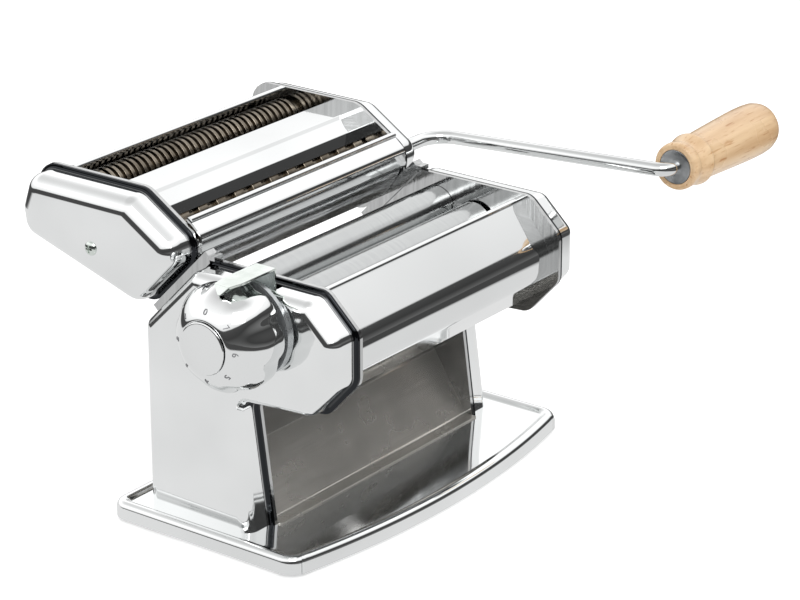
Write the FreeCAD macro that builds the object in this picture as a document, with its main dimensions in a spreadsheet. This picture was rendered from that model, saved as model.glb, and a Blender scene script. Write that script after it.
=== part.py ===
"""Hand cranked pasta machine: a steel stand with two smooth rollers under a front hood, and a
cutter unit with a wide and a fine pair of rollers that hooks on the slanted rear edge.

Millimetres. X runs from the knob to the crank, Y from the front to the rear, Z up.
The origin is on the surface the feet stand on, under the middle of the machine.
"""
import FreeCAD, Part
import math
import os
import re
import Sketcher
from FreeCAD import Vector

# Driving sizes: name, value, what it is
SIZES = [
    ("base_top", 7.6, "height of the base plate's top face"),
    ("base_skirt", 1.5, "height of the base plate's lower edge"),
    ("base_wall", 1.0, "thickness of the base plate's sheet"),
    ("base_front", -58.6, "front of the base plate, in the middle"),
    ("base_bow", 430, "radius of the bowed front edge"),
    ("base_side_margin", 11.5, "base plate beyond the side covers"),
    ("base_rear_margin", 10.7, "base plate behind the legs"),
    ("rim_width", 6.5, "width of the raised bead round the base plate"),
    ("rim_rise", 1.9, "height of the bead over the plate"),
    ("rim_round", 3, "rounding of the bead's outer edge"),
    ("front_corner", 10, "corner radius at the bowed front"),
    ("rear_corner", 8, "corner radius at the rear"),
    ("foot_radius", 8, "radius of a rubber foot"),
    ("foot_inset", 16, "foot centre to the base plate's edge"),
    ("foot_front", -34, "row of the front feet"),
    ("inner_half", 74, "half the distance between the side plates"),
    ("plate_wall", 1.8, "thickness of a side plate"),
    ("flange_wall", 1.2, "thickness of a side cover's flange"),
    ("flange_width", 2.2, "width of a side cover's flange"),
    ("cover_wall", 1.0, "thickness of a side cover's pressed sheet"),
    ("cover_depth", 15.2, "depth of a side cover over the side plate"),
    ("cover_round", 8.5, "rounding of the stand's corners, seen from the side"),
    ("knee_round", 5, "rounding of the inner corner under the head"),
    ("cover_rim", 6, "rounding of a side cover's rim"),
    ("foot_front_y", -15.2, "front edge of a leg at the base"),
    ("leg_back_y", 48.3, "rear edge of a leg"),
    ("knee_y", -7.1, "inner corner under the head, across"),
    ("knee_drop", 40.2, "the same corner below the roller height"),
    ("chin_y", -46.5, "front lower corner of the head, across"),
    ("chin_drop", 38.1, "the same corner below the roller height"),
    ("nose_y", -63, "front of the head"),
    ("nose_drop", 19.7, "lower end of the nose below the roller height"),
    ("nose_rise", 3, "upper end of the nose over the roller height"),
    ("brow_y", -46.1, "front end of the head's top edge"),
    ("rail_tilt", 46, "slope of the rear edge that carries the cutter, degrees"),
    ("top_margin", 5.78, "head's top edge over the rear roller"),
    ("back_margin", 2, "head's top corner behind the rear roller"),
    ("axle_z", 107, "height of the knob's axis"),
    ("knob_y", -15.3, "knob's axis, across"),
    ("nip_tilt", 8, "climb of the line from front to rear roller, degrees"),
    ("roller_r", 10.2, "radius of the smooth rollers"),
    ("widest_gap", 2.4, "gap between the smooth rollers at the widest setting"),
    ("throw", 1.1, "offset of the eccentric pin from the knob's axis"),
    ("end_gap", 0.3, "gap at the end of a roller"),
    ("play", 0.05, "radial clearance of a running fit"),
    ("seat", 0.02, "radial clearance of a tight fit"),
    ("gear_gap", 1.7, "side plate to gear"),
    ("pin_stand", 2, "eccentric pin out of its gear"),
    ("bush_gap", 1.5, "end of the eccentric pin to the bush behind the cover's face"),
    ("end_bush_wall", 3, "wall of that bush"),
    ("gear_wide", 4, "width of a smooth roller's gear"),
    ("long_teeth", 10, "teeth on a smooth roller's gear"),
    ("tooth_reach", 0.9, "long tooth beyond half the middle distance"),
    ("tooth_root", 2.6, "long tooth's thickness at its root"),
    ("tooth_tip", 1.3, "long tooth's thickness at its tip"),
    ("tip_gap", 0.25, "tooth tip to the other gear's root, at the closest"),
    ("mesh_lean", 2.9, "turn that shares the backlash over the eccentric's arc, degrees"),
    ("neck_r", 7.5, "radius of the front roller's neck"),
    ("neck_gap", 0.9, "clearance round the neck in the side plate"),
    ("roller_bore", 6, "bore of the front roller"),
    ("pin_r", 4, "radius of the eccentric pin and of the knob's stem"),
    ("journal_r", 6, "radius of the eccentric shaft's journal"),
    ("end_journal_r", 3, "radius of the eccentric shaft's far end"),
    ("axle_r", 5, "radius of a driven roller's journal"),
    ("bush_wall", 2, "wall of a bush"),
    ("bush_stand", 1, "bush beyond the side plate's outer face"),
    ("bush_long", 8, "length of a bush inside the front roller"),
    ("rod_r", 4, "radius of a tie rod"),
    ("nut_r", 4.6, "radius of a hexagon head over its corners"),
    ("nut_high", 2.6, "thickness of a hexagon head"),
    ("front_rod_y", -38, "front tie rod, across"),
    ("front_rod_drop", 23, "front tie rod below the knob's axis"),
    ("rear_rod_y", 31, "rear tie rod, across"),
    ("rear_rod_drop", 23, "rear tie rod below the knob's axis"),
    ("sheet", 1.0, "thickness of the hood and the cutter's covers"),
    ("hood_inset", 5.5, "hood behind the side cover's outline"),
    ("hood_round", 8, "rounding of the hood's bends"),
    ("hood_lip_y", -40.5, "upper edge of the hood, across"),
    ("hood_lip_rise", 16, "upper edge of the hood over the knob's axis"),
    ("hood_bend_drop", 4, "upper bend below the knob's axis"),
    ("hood_chin_drop", 17, "lower bend below the knob's axis"),
    ("hood_foot_y", -41.5, "lower edge of the hood, across"),
    ("hood_foot_drop", 34.5, "lower edge of the hood below the knob's axis"),
    ("lip_r", 1.5, "radius of a rolled edge"),
    ("chute_wall", 0.8, "thickness of the dough chute"),
    ("chute_toe_y", -17.5, "front end of the chute's foot"),
    ("chute_heel_y", -11.6, "where the chute leaves the base plate"),
    ("chute_bend_y", 7.2, "bend of the chute, across"),
    ("chute_bend_drop", 70, "bend of the chute below the knob's axis"),
    ("chute_tilt", 45, "slope of the chute's upper part, degrees"),
    ("chute_top", 46, "length of the chute's upper part"),
    ("chute_seat", 33, "bend to the rod under the chute"),
    ("guard_wall", 1.5, "thickness of a roller guard"),
    ("guard_rise", 6.3, "guard over the knob's axis"),
    ("guard_under", 0.8, "guard below the underside of a smooth roller"),
    ("guard_front", 18.7, "guard in front of the knob's axis"),
    ("guard_back", 13, "guard behind the knob's axis"),
    ("guard_gap", 0.4, "guard to the rear roller"),
    ("blade_wall", 0.8, "thickness of a scraper"),
    ("blade_gap", 0.3, "scraper to roller"),
    ("cutter_gap", 3.2, "cutter's lower front edge over the rail edge"),
    ("cutter_round", 11.2, "rounding of the cutter unit's corners, seen from the side"),
    ("cutter_rim", 8, "rounding of a cutter cover's rim"),
    ("cutter_rise", 25.5, "cutter's top edge over the head's top edge"),
    ("cutter_brow", 35, "front end of the cutter's top edge behind the head's corner"),
    ("cutter_back", 96.1, "rear end of the cutter's top edge behind the head's corner"),
    ("cutter_tail", 102.6, "rearmost corner of the cutter behind the head's corner"),
    ("cutter_tail_rise", 7, "rearmost corner over the head's top edge"),
    ("cutter_heel", 100.6, "rear lower corner of the cutter behind the head's corner"),
    ("cutter_heel_drop", 7, "rear lower corner below the head's top edge"),
    ("guide_start", -2, "upper end of a guide along the rail"),
    ("guide_end", 42.5, "lower end of a guide along the rail"),
    ("guide_leg", 1.0, "thickness of a guide's leg"),
    ("guide_grip", 2, "reach of a guide's leg over the rail edge"),
    ("guide_gap", 0.3, "clearance of a guide on the rail edge"),
    ("wide_back", 21.4, "driven wide cutter behind the head's corner"),
    ("wide_rise", 1, "driven wide cutter over the head's top edge"),
    ("wide_tilt", 5, "climb from the driven to the other wide cutter, degrees"),
    ("fine_back", 63, "driven fine cutter behind the head's corner"),
    ("fine_rise", 4.6, "driven fine cutter over the head's top edge"),
    ("fine_tilt", 28, "climb from the driven to the other fine cutter, degrees"),
    ("cutter_step", 16, "distance between the two rollers of a pair"),
    ("disc_r", 8.7, "radius of a cutting disc"),
    ("core_r", 6.6, "radius of a cutter's core between the discs"),
    ("disc_gap", 0.05, "clearance between the sides of two discs"),
    ("wide_cut", 6.3, "width of the wide strips"),
    ("wide_discs", 11, "discs on the driven wide cutter"),
    ("fine_cut", 2, "width of the fine strips"),
    ("fine_discs", 37, "discs on the driven fine cutter"),
    ("cutter_axle_r", 4, "radius of a cutter's plain journal"),
    ("tenon_half", 2.75, "half the side of a journal's square end"),
    ("spur_teeth", 12, "teeth on a cutter's gear"),
    ("spur_wide", 3.5, "width of a cutter's gear"),
    ("comb_drop", 9.4, "roller axis to the comb's bar"),
    ("comb_high", 3, "height of a comb's bar"),
    ("comb_wide", 6, "width of a comb's bar"),
    ("comb_reach", 7, "roller axis to the tip of a comb's tooth"),
    ("comb_side", 20, "lean of a comb away from the nip, degrees"),
    ("comb_gap", 0.25, "clearance beside a comb's tooth"),
    ("thin_rod_r", 3, "radius of the cutter unit's tie rods"),
    ("screw_head_r", 3.3, "radius of a screw's head"),
    ("screw_head_high", 1.6, "height of a screw's head"),
    ("screw_back", 56.4, "cover screw behind the head's corner"),
    ("screw_drop", 3.5, "cover screw below the head's top edge"),
    ("crank_r", 3.3, "radius of the crank's rod"),
    ("crank_flat", 5, "thickness of the crank's flattened tip"),
    ("socket_play", 0.06, "clearance of the crank in its socket"),
    ("socket_deep", 12, "depth of the round part of the crank's socket"),
    ("slot_deep", 6, "depth of the flat part of the crank's socket"),
    ("crank_arm", 132.8, "distance from the crank's axis to the grip's axis"),
    ("crank_dip", 3.67, "climb of the crank's arm towards the grip, degrees"),
    ("arm_gap", 27, "right cover's face to the middle of the crank's arm"),
    ("crank_bend", 13, "radius of the bend at the shaft"),
    ("grip_bend", 6.4, "radius of the bend at the grip"),
    ("grip_gap", 6.5, "middle of the arm to the near end of the grip"),
    ("grip_long", 79.5, "length of the grip"),
    ("washer_r", 8.2, "radius of the washer in the grip's end"),
    ("washer_high", 1.2, "thickness of that washer"),
    ("knob_gap", 5, "left cover's face to the back of the knob"),
    ("knob_high", 25.5, "height of the knob"),
    ("knob_r", 25, "radius of the knob over its lobes"),
    ("knob_lobes", 8, "lobes of the knob"),
    ("collar_r", 6.4, "radius of the collar that holds the knob's spring"),
    ("spring_seat", 5, "knob's back to the seat of its spring"),
    ("flute_r", 8, "radius of the hollow between two lobes"),
    ("flute_out", 30, "distance of that hollow's centre from the axis"),
    ("face_r", 11.7, "radius of the knob's flat face disc"),
    ("face_high", 1.2, "thickness of the face disc"),
    ("dial_r", 22.6, "radius of the dial plate behind the knob"),
    ("dial_wall", 2, "thickness of the dial plate"),
    ("index_r", 1.5, "radius of the knob's index pin"),
    ("index_out", 17, "index pin from the knob's axis"),
    ("index_gap", 0.1, "index pin to the dial plate"),
    ("pointer_wide", 14, "width of the pointer strip"),
    ("pointer_wall", 1, "thickness of the pointer strip"),
    ("pointer_rise", 26.6, "top of the pointer over the knob's axis"),
    ("pointer_drop", 3.6, "tip of the pointer below its top"),
    ("pointer_reach", 17.5, "pointer's outer bend in front of the back of the knob"),
]

# Places worked out from the sizes, written with the same names
PLATE_X = "(inner_half+plate_wall)"
FACE_X = "(inner_half+plate_wall+cover_depth)"
KNOB_BACK = f"({FACE_X}+knob_gap)"
ARM_X = f"({FACE_X}+arm_gap)"
GRIP_X = f"({ARM_X}+grip_gap)"
GEAR_X = "(inner_half+plate_wall+gear_gap)"
PIN_END = f"({GEAR_X}+gear_wide+pin_stand)"
STEP = "(2*roller_r+widest_gap-throw)"
FRONT_Y = "(knob_y-throw*cos(nip_tilt))"
FRONT_Z = "(axle_z-throw*sin(nip_tilt))"
REAR_Y = f"(knob_y+{STEP}*cos(nip_tilt))"
REAR_Z = f"(axle_z+{STEP}*sin(nip_tilt))"
HEAD_TOP = f"({REAR_Z}+roller_r+top_margin)"
HEAD_BACK = f"({REAR_Y}+roller_r+back_margin)"
RAIL_LOW = f"({HEAD_TOP}-(leg_back_y-{HEAD_BACK})*tan(rail_tilt))"
BASE_HALF = f"({FACE_X}+base_side_margin)"
BASE_REAR = "(leg_back_y+base_rear_margin)"
BASE_UNDER = "(base_top-base_wall)"
ARC_Y = "(base_front+base_bow)"
CUTTER_TOP = f"({HEAD_TOP}+cutter_rise)"
SEAT_OFF = "(chute_wall+rod_r+0.2)"
LOW_ROD_Y = f"(chute_bend_y+chute_seat*cos(chute_tilt)+{SEAT_OFF}*sin(chute_tilt))"
CHUTE_BEND = "(axle_z-chute_bend_drop)"
LOW_ROD_Z = f"({CHUTE_BEND}+chute_seat*sin(chute_tilt)-{SEAT_OFF}*cos(chute_tilt))"

doc = FreeCAD.newDocument("pasta_machine")
sheet = doc.addObject("Spreadsheet::Sheet", "Sizes")
for row, (alias, size, meaning) in enumerate(SIZES, 1):
    sheet.set(f"A{row}", alias)
    sheet.set(f"B{row}", str(size))
    sheet.set(f"C{row}", meaning)
    sheet.setAlias(f"B{row}", alias)
doc.recompute()
ALIASES = {alias for alias, _, _ in SIZES}
parts = []


def full(text):
    """Writes an expression of size names as one that reads the sheet."""
    def with_sheet(match):
        word = match.group(0)
        return "Sizes." + word if word in ALIASES else word
    return re.sub(r"[a-z_]+[a-z_0-9]*", with_sheet, str(text))


def number(text):
    result = sheet.evalExpression(full(text))
    return float(getattr(result, "Value", result))


def bind(thing, **sizes):
    for prop, text in sizes.items():
        thing.setExpression(prop, full(text))
    return thing


def point(corner):
    return Vector(number(corner[0]), number(corner[1]), 0)


def keep(thing, label):
    thing.Label = label
    parts.append(thing)
    return thing


# Bodies, sketches and features

def new_body(label):
    return keep(doc.addObject("PartDesign::Body", label), label)


def origin_part(body, role):
    return next(f for f in body.Origin.OriginFeatures if f.Role == role)


def place(thing, y, z, turn=None):
    """Moves a body drawn on the X axis to its own axis, turned about it if asked."""
    turning = f"create(<<rotation>>; create(<<vector>>; 1; 0; 0); {turn or 0})"
    where = f"create(<<vector>>; 0; {y}; {z})"
    thing.setExpression("Placement", full(f"create(<<placement>>; {where}; {turning})"))
    return thing


def new_sketch(body, role, offset="0"):
    sketch = body.newObject("Sketcher::SketchObject", body.Name + "_sketch")
    sketch.AttachmentSupport = [(origin_part(body, role), "")]
    sketch.MapMode = "FlatFace"
    sketch.setExpression("AttachmentOffset.Base.z", full(offset))
    return sketch


def hold(sketch, kind, places, text):
    """Adds a constraint whose value is an expression."""
    index = sketch.addConstraint(Sketcher.Constraint(kind, *places, number(text)))
    sketch.setExpression(f"Constraints[{index}]", full(text))


def close_lines(sketch, points, construction=False):
    first = sketch.GeometryCount
    for start, end in zip(points, points[1:] + points[:1]):
        sketch.addGeometry(Part.LineSegment(start, end), construction)
    count = len(points)
    for i in range(count):
        joint = (first + i, 2, first + (i + 1) % count, 1)
        sketch.addConstraint(Sketcher.Constraint("Coincident", *joint))
    return first


def hold_point(sketch, line, corner):
    hold(sketch, "DistanceX", (-1, 1, line, 1), corner[0])
    hold(sketch, "DistanceY", (-1, 1, line, 1), corner[1])


def polygon(sketch, corners, construction=False):
    first = close_lines(sketch, [point(c) for c in corners], construction)
    for i, corner in enumerate(corners):
        hold_point(sketch, first + i, corner)
    return first


def rectangle(sketch, low, high):
    polygon(sketch, [low, (high[0], low[1]), high, (low[0], high[1])])


def circle(sketch, corner, radius):
    index = sketch.addGeometry(Part.Circle(point(corner), Vector(0, 0, 1), number(radius)))
    hold(sketch, "DistanceX", (-1, 1, index, 3), corner[0])
    hold(sketch, "DistanceY", (-1, 1, index, 3), corner[1])
    hold(sketch, "Radius", (index,), radius)


def crossing(p, d, q, e):
    """Where the line through p along d meets the line through q along e."""
    return p + d * (((q.x - p.x) * e.y - (q.y - p.y) * e.x) / (d.x * e.y - d.y * e.x))


def inset_polygon(sketch, corners, insets):
    """Lines parallel to those of an outline, each moved inwards by its own inset."""
    base = polygon(sketch, corners, True)
    points = [point(c) for c in corners]
    count = len(points)
    sides = [points[(i + 1) % count] - points[i] for i in range(count)]
    turn = 1 if sum(points[i - 1].cross(points[i]).z for i in range(count)) > 0 else -1
    moved = []
    for start, side, inset in zip(points, sides, insets):
        inwards = Vector(-side.y, side.x, 0).normalize() * turn
        moved.append(start + inwards * number(inset))
    inner = [crossing(moved[i - 1], sides[i - 1], moved[i], sides[i]) for i in range(count)]
    first = close_lines(sketch, inner)
    for i, inset in enumerate(insets):
        sketch.addConstraint(Sketcher.Constraint("Parallel", first + i, base + i))
        if number(inset) == 0:
            sketch.addConstraint(Sketcher.Constraint("PointOnObject", first + i, 1, base + i))
        else:
            hold(sketch, "Distance", (first + i, 1, base + i), inset)


def sheet_strip(sketch, line, wall):
    """A bent sheet seen from its edge: the line given is one face, the sheet lies on its left."""
    face = [point(c) for c in line]
    runs = [b - a for a, b in zip(face, face[1:])]
    lefts = [Vector(-run.y, run.x, 0).normalize() * number(wall) for run in runs]
    back = [face[0] + lefts[0]]
    for i in range(1, len(runs)):
        back.append(crossing(face[i] + lefts[i - 1], runs[i - 1], face[i] + lefts[i], runs[i]))
    back.append(face[-1] + lefts[-1])
    first = close_lines(sketch, face + back[::-1])
    count = len(face)
    for i, corner in enumerate(line):
        hold_point(sketch, first + i, corner)
    for i in range(count - 1):
        opposite = first + 2 * count - 2 - i
        sketch.addConstraint(Sketcher.Constraint("Parallel", opposite, first + i))
        hold(sketch, "Distance", (opposite, 1, first + i), wall)
    sketch.addConstraint(Sketcher.Constraint("Perpendicular", first + count - 1, first + count - 2))
    sketch.addConstraint(Sketcher.Constraint("Perpendicular", first + 2 * count - 1, first))


def pad(body, sketch, length, away=False):
    feature = body.newObject("PartDesign::Pad", body.Name + "_pad")
    feature.Profile = sketch
    feature.Reversed = away
    bind(feature, Length=length)
    doc.recompute()
    return feature


def pocket(body, sketch, length, away=False):
    """Cuts from the sketch against its normal, or along it if away; it must remove something."""
    before = body.Shape.Volume
    feature = body.newObject("PartDesign::Pocket", body.Name + "_pocket")
    feature.Profile = sketch
    feature.Reversed = away
    bind(feature, Length=length)
    doc.recompute()
    if body.Shape.Volume > before - 1e-3:
        raise RuntimeError(f"pocket of {body.Label} cuts nothing")
    return feature


def revolve(body, sketch, axis="H_Axis", angle=360, away=False):
    feature = body.newObject("PartDesign::Revolution", body.Name + "_turned")
    feature.Profile = sketch
    feature.ReferenceAxis = (sketch, [axis])
    feature.Angle = angle
    feature.Reversed = away
    doc.recompute()
    return feature


def turn_outline(body, corners):
    """Turns an outline of (x, radius) corners about the X axis."""
    sketch = new_sketch(body, "XY_Plane")
    polygon(sketch, corners)
    revolve(body, sketch)


def dress(body, kind, wanted, size):
    """Rounds or bevels the edges of the body's last feature that the test picks."""
    base = body.Tip
    edges = [f"Edge{i}" for i, edge in enumerate(base.Shape.Edges, 1) if wanted(edge)]
    if not edges:
        raise RuntimeError(f"no edge to work on {body.Label}")
    feature = body.newObject("PartDesign::" + kind, body.Name + "_" + kind.lower())
    feature.Base = (base, edges)
    if kind == "Fillet":
        bind(feature, Radius=size)
    else:
        bind(feature, Size=size)
    doc.recompute()
    return feature


def fillet(body, wanted, radius):
    return dress(body, "Fillet", wanted, radius)


def bevel(body, wanted, size):
    return dress(body, "Chamfer", wanted, size)


def row_of(body, feature, count, spacing):
    row = body.newObject("PartDesign::LinearPattern", body.Name + "_row")
    row.Originals = [feature]
    row.Direction = (origin_part(body, "X_Axis"), [""])
    row.Mode = "Spacing"
    bind(row, Occurrences=count, Offset=spacing)
    body.Tip = row
    doc.recompute()
    return row


# Part primitives along the X axis

def lie_on_x(thing, x, y, z):
    turning = "create(<<rotation>>; create(<<vector>>; 0; 1; 0); 90)"
    where = f"create(<<vector>>; {x}; {y}; {z})"
    thing.setExpression("Placement", full(f"create(<<placement>>; {where}; {turning})"))
    return thing


def rod_x(name, start, end, y, z, radius):
    rod = doc.addObject("Part::Cylinder", name)
    bind(rod, Radius=radius, Height=f"({end})-({start})")
    return lie_on_x(rod, start, y, z)


def prism_x(name, start, end, y, z, radius, sides):
    """A short piece with many flats, such as a screw's head or a washer."""
    prism = doc.addObject("Part::Prism", name)
    prism.Polygon = sides
    bind(prism, Circumradius=radius, Height=f"({end})-({start})")
    return lie_on_x(prism, start, y, z)


def cut(name, base, tool):
    result = doc.addObject("Part::Cut", name)
    result.Base = base
    result.Tool = tool
    return result


def group(label, pieces):
    result = doc.addObject("Part::Compound", label)
    result.Links = pieces
    return keep(result, label)


def tube_x(name, start, end, y, z, outer, inner):
    solid = rod_x(name + "_outer", start, end, y, z, outer)
    bore = rod_x(name + "_bore", f"({start})-1", f"({end})+1", y, z, inner)
    return cut(name, solid, bore)


def ring_x(name, start, end, y, z, outer, inner, sides):
    """A flat sided ring: a washer or a spring's outer shape."""
    solid = prism_x(name + "_outer", start, end, y, z, outer, sides)
    bore = prism_x(name + "_bore", f"({start})-1", f"({end})+1", y, z, inner, sides)
    return cut(name, solid, bore)


def ringed_solid(rings):
    """A solid with flat faces between rings of points, closed by a flat end at each side."""
    faces = [Part.Face(Part.makePolygon(ring + ring[:1])) for ring in (rings[0], rings[-1])]
    for near, far in zip(rings, rings[1:]):
        for i, start in enumerate(near):
            j = (i + 1) % len(near)
            for corners in ([start, near[j], far[j]], [start, far[j], far[i]]):
                faces.append(Part.Face(Part.makePolygon(corners + corners[:1])))
    shell = Part.makeShell(faces)
    shell.sewShape()
    solid = Part.Solid(shell)
    if solid.Volume < 0:
        solid.reverse()
    return solid


def bored(solid, start, end, radius):
    """The solid with a round hole along the X axis."""
    length = number(end) - number(start)
    hole = Part.makeCylinder(number(radius), length, Vector(number(start), 0, 0), Vector(1, 0, 0))
    return solid.cut(hole)


# Tests that pick edges

def runs_along_x(edge):
    ends = edge.Vertexes[0].Point - edge.Vertexes[-1].Point
    return abs(ends.y) < 1e-4 + abs(ends.x) * 0.5 and abs(ends.z) < 1e-4 + abs(ends.x) * 0.5


def stands_upright(edge):
    ends = edge.Vertexes[0].Point - edge.Vertexes[-1].Point
    return abs(ends.x) < 1e-4 and abs(ends.y) < 1e-4 and abs(ends.z) > 0.5


def lies_at(edge, axis, value):
    return all(abs(getattr(v, axis) - value) < 1e-3 for v in edge.Vertexes)


# Outline of the side of the stand: leg, head and the slanted edge for the cutter unit
SIDE_OUTLINE = [
    ("foot_front_y", "base_top"),
    ("knee_y", "axle_z-knee_drop"),
    ("chin_y", "axle_z-chin_drop"),
    ("nose_y", "axle_z-nose_drop"),
    ("nose_y", "axle_z+nose_rise"),
    ("brow_y", HEAD_TOP),
    (HEAD_BACK, HEAD_TOP),
    ("leg_back_y", RAIL_LOW),
    ("leg_back_y", "base_top"),
]


def rail(along, out):
    """A place along the slanted edge, from its upper end, and out from it."""
    y = f"({HEAD_BACK}+({along})*cos(rail_tilt)+({out})*sin(rail_tilt))"
    z = f"({HEAD_TOP}-({along})*sin(rail_tilt)+({out})*cos(rail_tilt))"
    return y, z


CUTTER_OUTLINE = [
    rail("guide_start", "cutter_gap"),
    (f"{HEAD_BACK}+cutter_brow", CUTTER_TOP),
    (f"{HEAD_BACK}+cutter_back", CUTTER_TOP),
    (f"{HEAD_BACK}+cutter_tail", f"{HEAD_TOP}+cutter_tail_rise"),
    (f"{HEAD_BACK}+cutter_heel", f"{HEAD_TOP}-cutter_heel_drop"),
    rail("guide_end", "cutter_gap"),
]

WIDE_DRIVE = (f"({HEAD_BACK}+wide_back)", f"({HEAD_TOP}+wide_rise)")
WIDE_OTHER = (f"({WIDE_DRIVE[0]}+cutter_step*cos(wide_tilt))",
              f"({WIDE_DRIVE[1]}+cutter_step*sin(wide_tilt))")
FINE_DRIVE = (f"({HEAD_BACK}+fine_back)", f"({HEAD_TOP}+fine_rise)")
FINE_OTHER = (f"({FINE_DRIVE[0]}+cutter_step*cos(fine_tilt))",
              f"({FINE_DRIVE[1]}+cutter_step*sin(fine_tilt))")
KNOB_AXIS = ("knob_y", "axle_z")
KNOB_FRONT = f"({KNOB_BACK}+knob_high)"
STEM_END = f"({KNOB_FRONT}-6)"
COLLAR_X = f"({STEM_END}-1.2)"
REAR_AXIS = (REAR_Y, REAR_Z)
FRONT_AXIS = (FRONT_Y, FRONT_Z)
TIE_RODS = {
    "front_tie_rod": ("front_rod_y", "(axle_z-front_rod_drop)"),
    "rear_tie_rod": ("rear_rod_y", "(axle_z-rear_rod_drop)"),
    "lower_tie_rod": (LOW_ROD_Y, LOW_ROD_Z),
}
CUTTER_RODS = {
    "cutter_middle_rod": (f"({FINE_DRIVE[0]}-13)", f"({FINE_DRIVE[1]}+4.5)"),
    "cutter_rear_rod": (f"({HEAD_BACK}+cutter_heel-15)", f"({HEAD_TOP}-cutter_heel_drop+1.5)"),
}
COVER_SCREW = (f"({HEAD_BACK}+screw_back)", f"({HEAD_TOP}-screw_drop)")
TAB_SCREWS = ("foot_front_y+16", "leg_back_y-16")


# Base plate: one pressed sheet with a raised bead round its edge and a bowed front

def base_outline(sketch, inset):
    half = f"({BASE_HALF}-({inset}))"
    rear = f"({BASE_REAR}-({inset}))"
    bow = f"(base_bow-({inset}))"
    side = f"({ARC_Y}-sqrt({bow}^2-{half}^2))"
    corners = [(half, rear), (f"-{half}", rear), (f"-{half}", side), (half, side)]
    right_rear, left_rear, left_front, right_front = [point(c) for c in corners]
    middle = Vector(0, number(f"{ARC_Y}-{bow}"), 0)
    sketch.addGeometry(Part.LineSegment(right_rear, left_rear))
    sketch.addGeometry(Part.LineSegment(left_rear, left_front))
    arc = sketch.addGeometry(Part.Arc(left_front, middle, right_front))
    closing = sketch.addGeometry(Part.LineSegment(right_front, right_rear))
    arc_start = 1 if (sketch.Geometry[arc].StartPoint - left_front).Length < 1e-6 else 2
    joints = [(0, 2, 1, 1), (1, 2, arc, arc_start), (arc, 3 - arc_start, closing, 1), (closing, 2, 0, 1)]
    for joint in joints:
        sketch.addConstraint(Sketcher.Constraint("Coincident", *joint))
    for line, corner in zip((0, 1, closing), (corners[0], corners[1], corners[3])):
        hold_point(sketch, line, corner)
    hold(sketch, "DistanceX", (-1, 1, 1, 2), corners[2][0])
    hold(sketch, "DistanceY", (-1, 1, 1, 2), corners[2][1])
    hold(sketch, "Radius", (arc,), bow)


def base_plate():
    body = new_body("base_plate")
    sketch = new_sketch(body, "XY_Plane", "base_skirt")
    base_outline(sketch, "0")
    pad(body, sketch, "base_top+rim_rise-base_skirt")
    sketch = new_sketch(body, "XY_Plane", "base_skirt")
    base_outline(sketch, "base_wall")
    pocket(body, sketch, f"{BASE_UNDER}-base_skirt", away=True)

    def upright_at(inset, front=None):
        """Picks the upright corner edges of an outline that lies inside the plate's own."""
        across = number(f"{BASE_HALF}-{inset}")

        def wanted(edge):
            here = edge.CenterOfMass
            chosen = front is None or (here.y < 0) == front
            return stands_upright(edge) and abs(abs(here.x) - across) < 0.1 and chosen
        return wanted
    bevel(body, upright_at("base_wall"), "front_corner-base_wall")
    fillet(body, upright_at("0", True), "front_corner")
    fillet(body, upright_at("0", False), "rear_corner")
    crest = number("base_top+rim_rise")
    bevel(body, lambda e: lies_at(e, "Z", crest), "0.6*rim_round")
    sketch = new_sketch(body, "XY_Plane", "base_top+rim_rise")
    base_outline(sketch, "rim_width")
    pocket(body, sketch, "rim_rise")
    bevel(body, upright_at("rim_width"), "rear_corner-rim_width+1.5")


# Rubber feet and the screws that hold the side plates' foot tabs

FOOT_SIDES = 16


def stand_at(thing, x, y, z="0"):
    for axis, text in (("x", x), ("y", y), ("z", z)):
        thing.setExpression("Placement.Base." + axis, full(text))
    return thing


def feet_and_screws():
    feet = []
    screws = []
    for side in (-1, 1):
        for y in ("foot_front", f"({BASE_REAR}-foot_inset)"):
            foot = doc.addObject("Part::Prism", "foot")
            foot.Polygon = FOOT_SIDES
            bind(foot, Circumradius="foot_radius", Height=BASE_UNDER)
            feet.append(stand_at(foot, f"{side}*({BASE_HALF}-foot_inset)", y))
        for y in TAB_SCREWS:
            head = doc.addObject("Part::Prism", "screw_head")
            bind(head, Circumradius="screw_head_r", Height="screw_head_high")
            screws.append(stand_at(head, f"{side}*(inner_half-7)", y, f"{BASE_UNDER}-screw_head_high"))
    group("rubber_feet", feet)
    group("base_screws", screws)


# Side plates and the pressed covers on them, for the stand and for the cutter unit

FLATS = 3


def eased(corners, outer, inner):
    """The outline with each corner over the base taken round in flats that touch one arc."""
    points = [point(c) for c in corners]
    count = len(points)
    way = sum(points[i - 1].cross(points[i]).z for i in range(count))
    result = []
    for i, (here, corner) in enumerate(zip(points, corners)):
        if here.y < number("base_top") + 1:
            result.append(corner)
            continue
        before = (here - points[i - 1]).normalize()
        after = (points[(i + 1) % count] - here).normalize()
        turn = math.atan2(before.cross(after).z, before.dot(after))
        radius = outer if turn * way > 0 else inner
        side = math.copysign(1, turn)
        to_centre = Vector(-before.y, before.x, 0) * side
        centre = to_centre - before * math.tan(abs(turn) / 2)
        step = turn / (FLATS + 1)
        for k in range(FLATS + 1):
            swing = (k + 0.5) * step
            out = to_centre * (-1 / math.cos(step / 2))
            y = centre.x + out.x * math.cos(swing) - out.y * math.sin(swing)
            z = centre.y + out.x * math.sin(swing) + out.y * math.cos(swing)
            result.append((f"{corner[0]}+{radius}*({y:.6f})", f"{corner[1]}+{radius}*({z:.6f})"))
    return result


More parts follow.
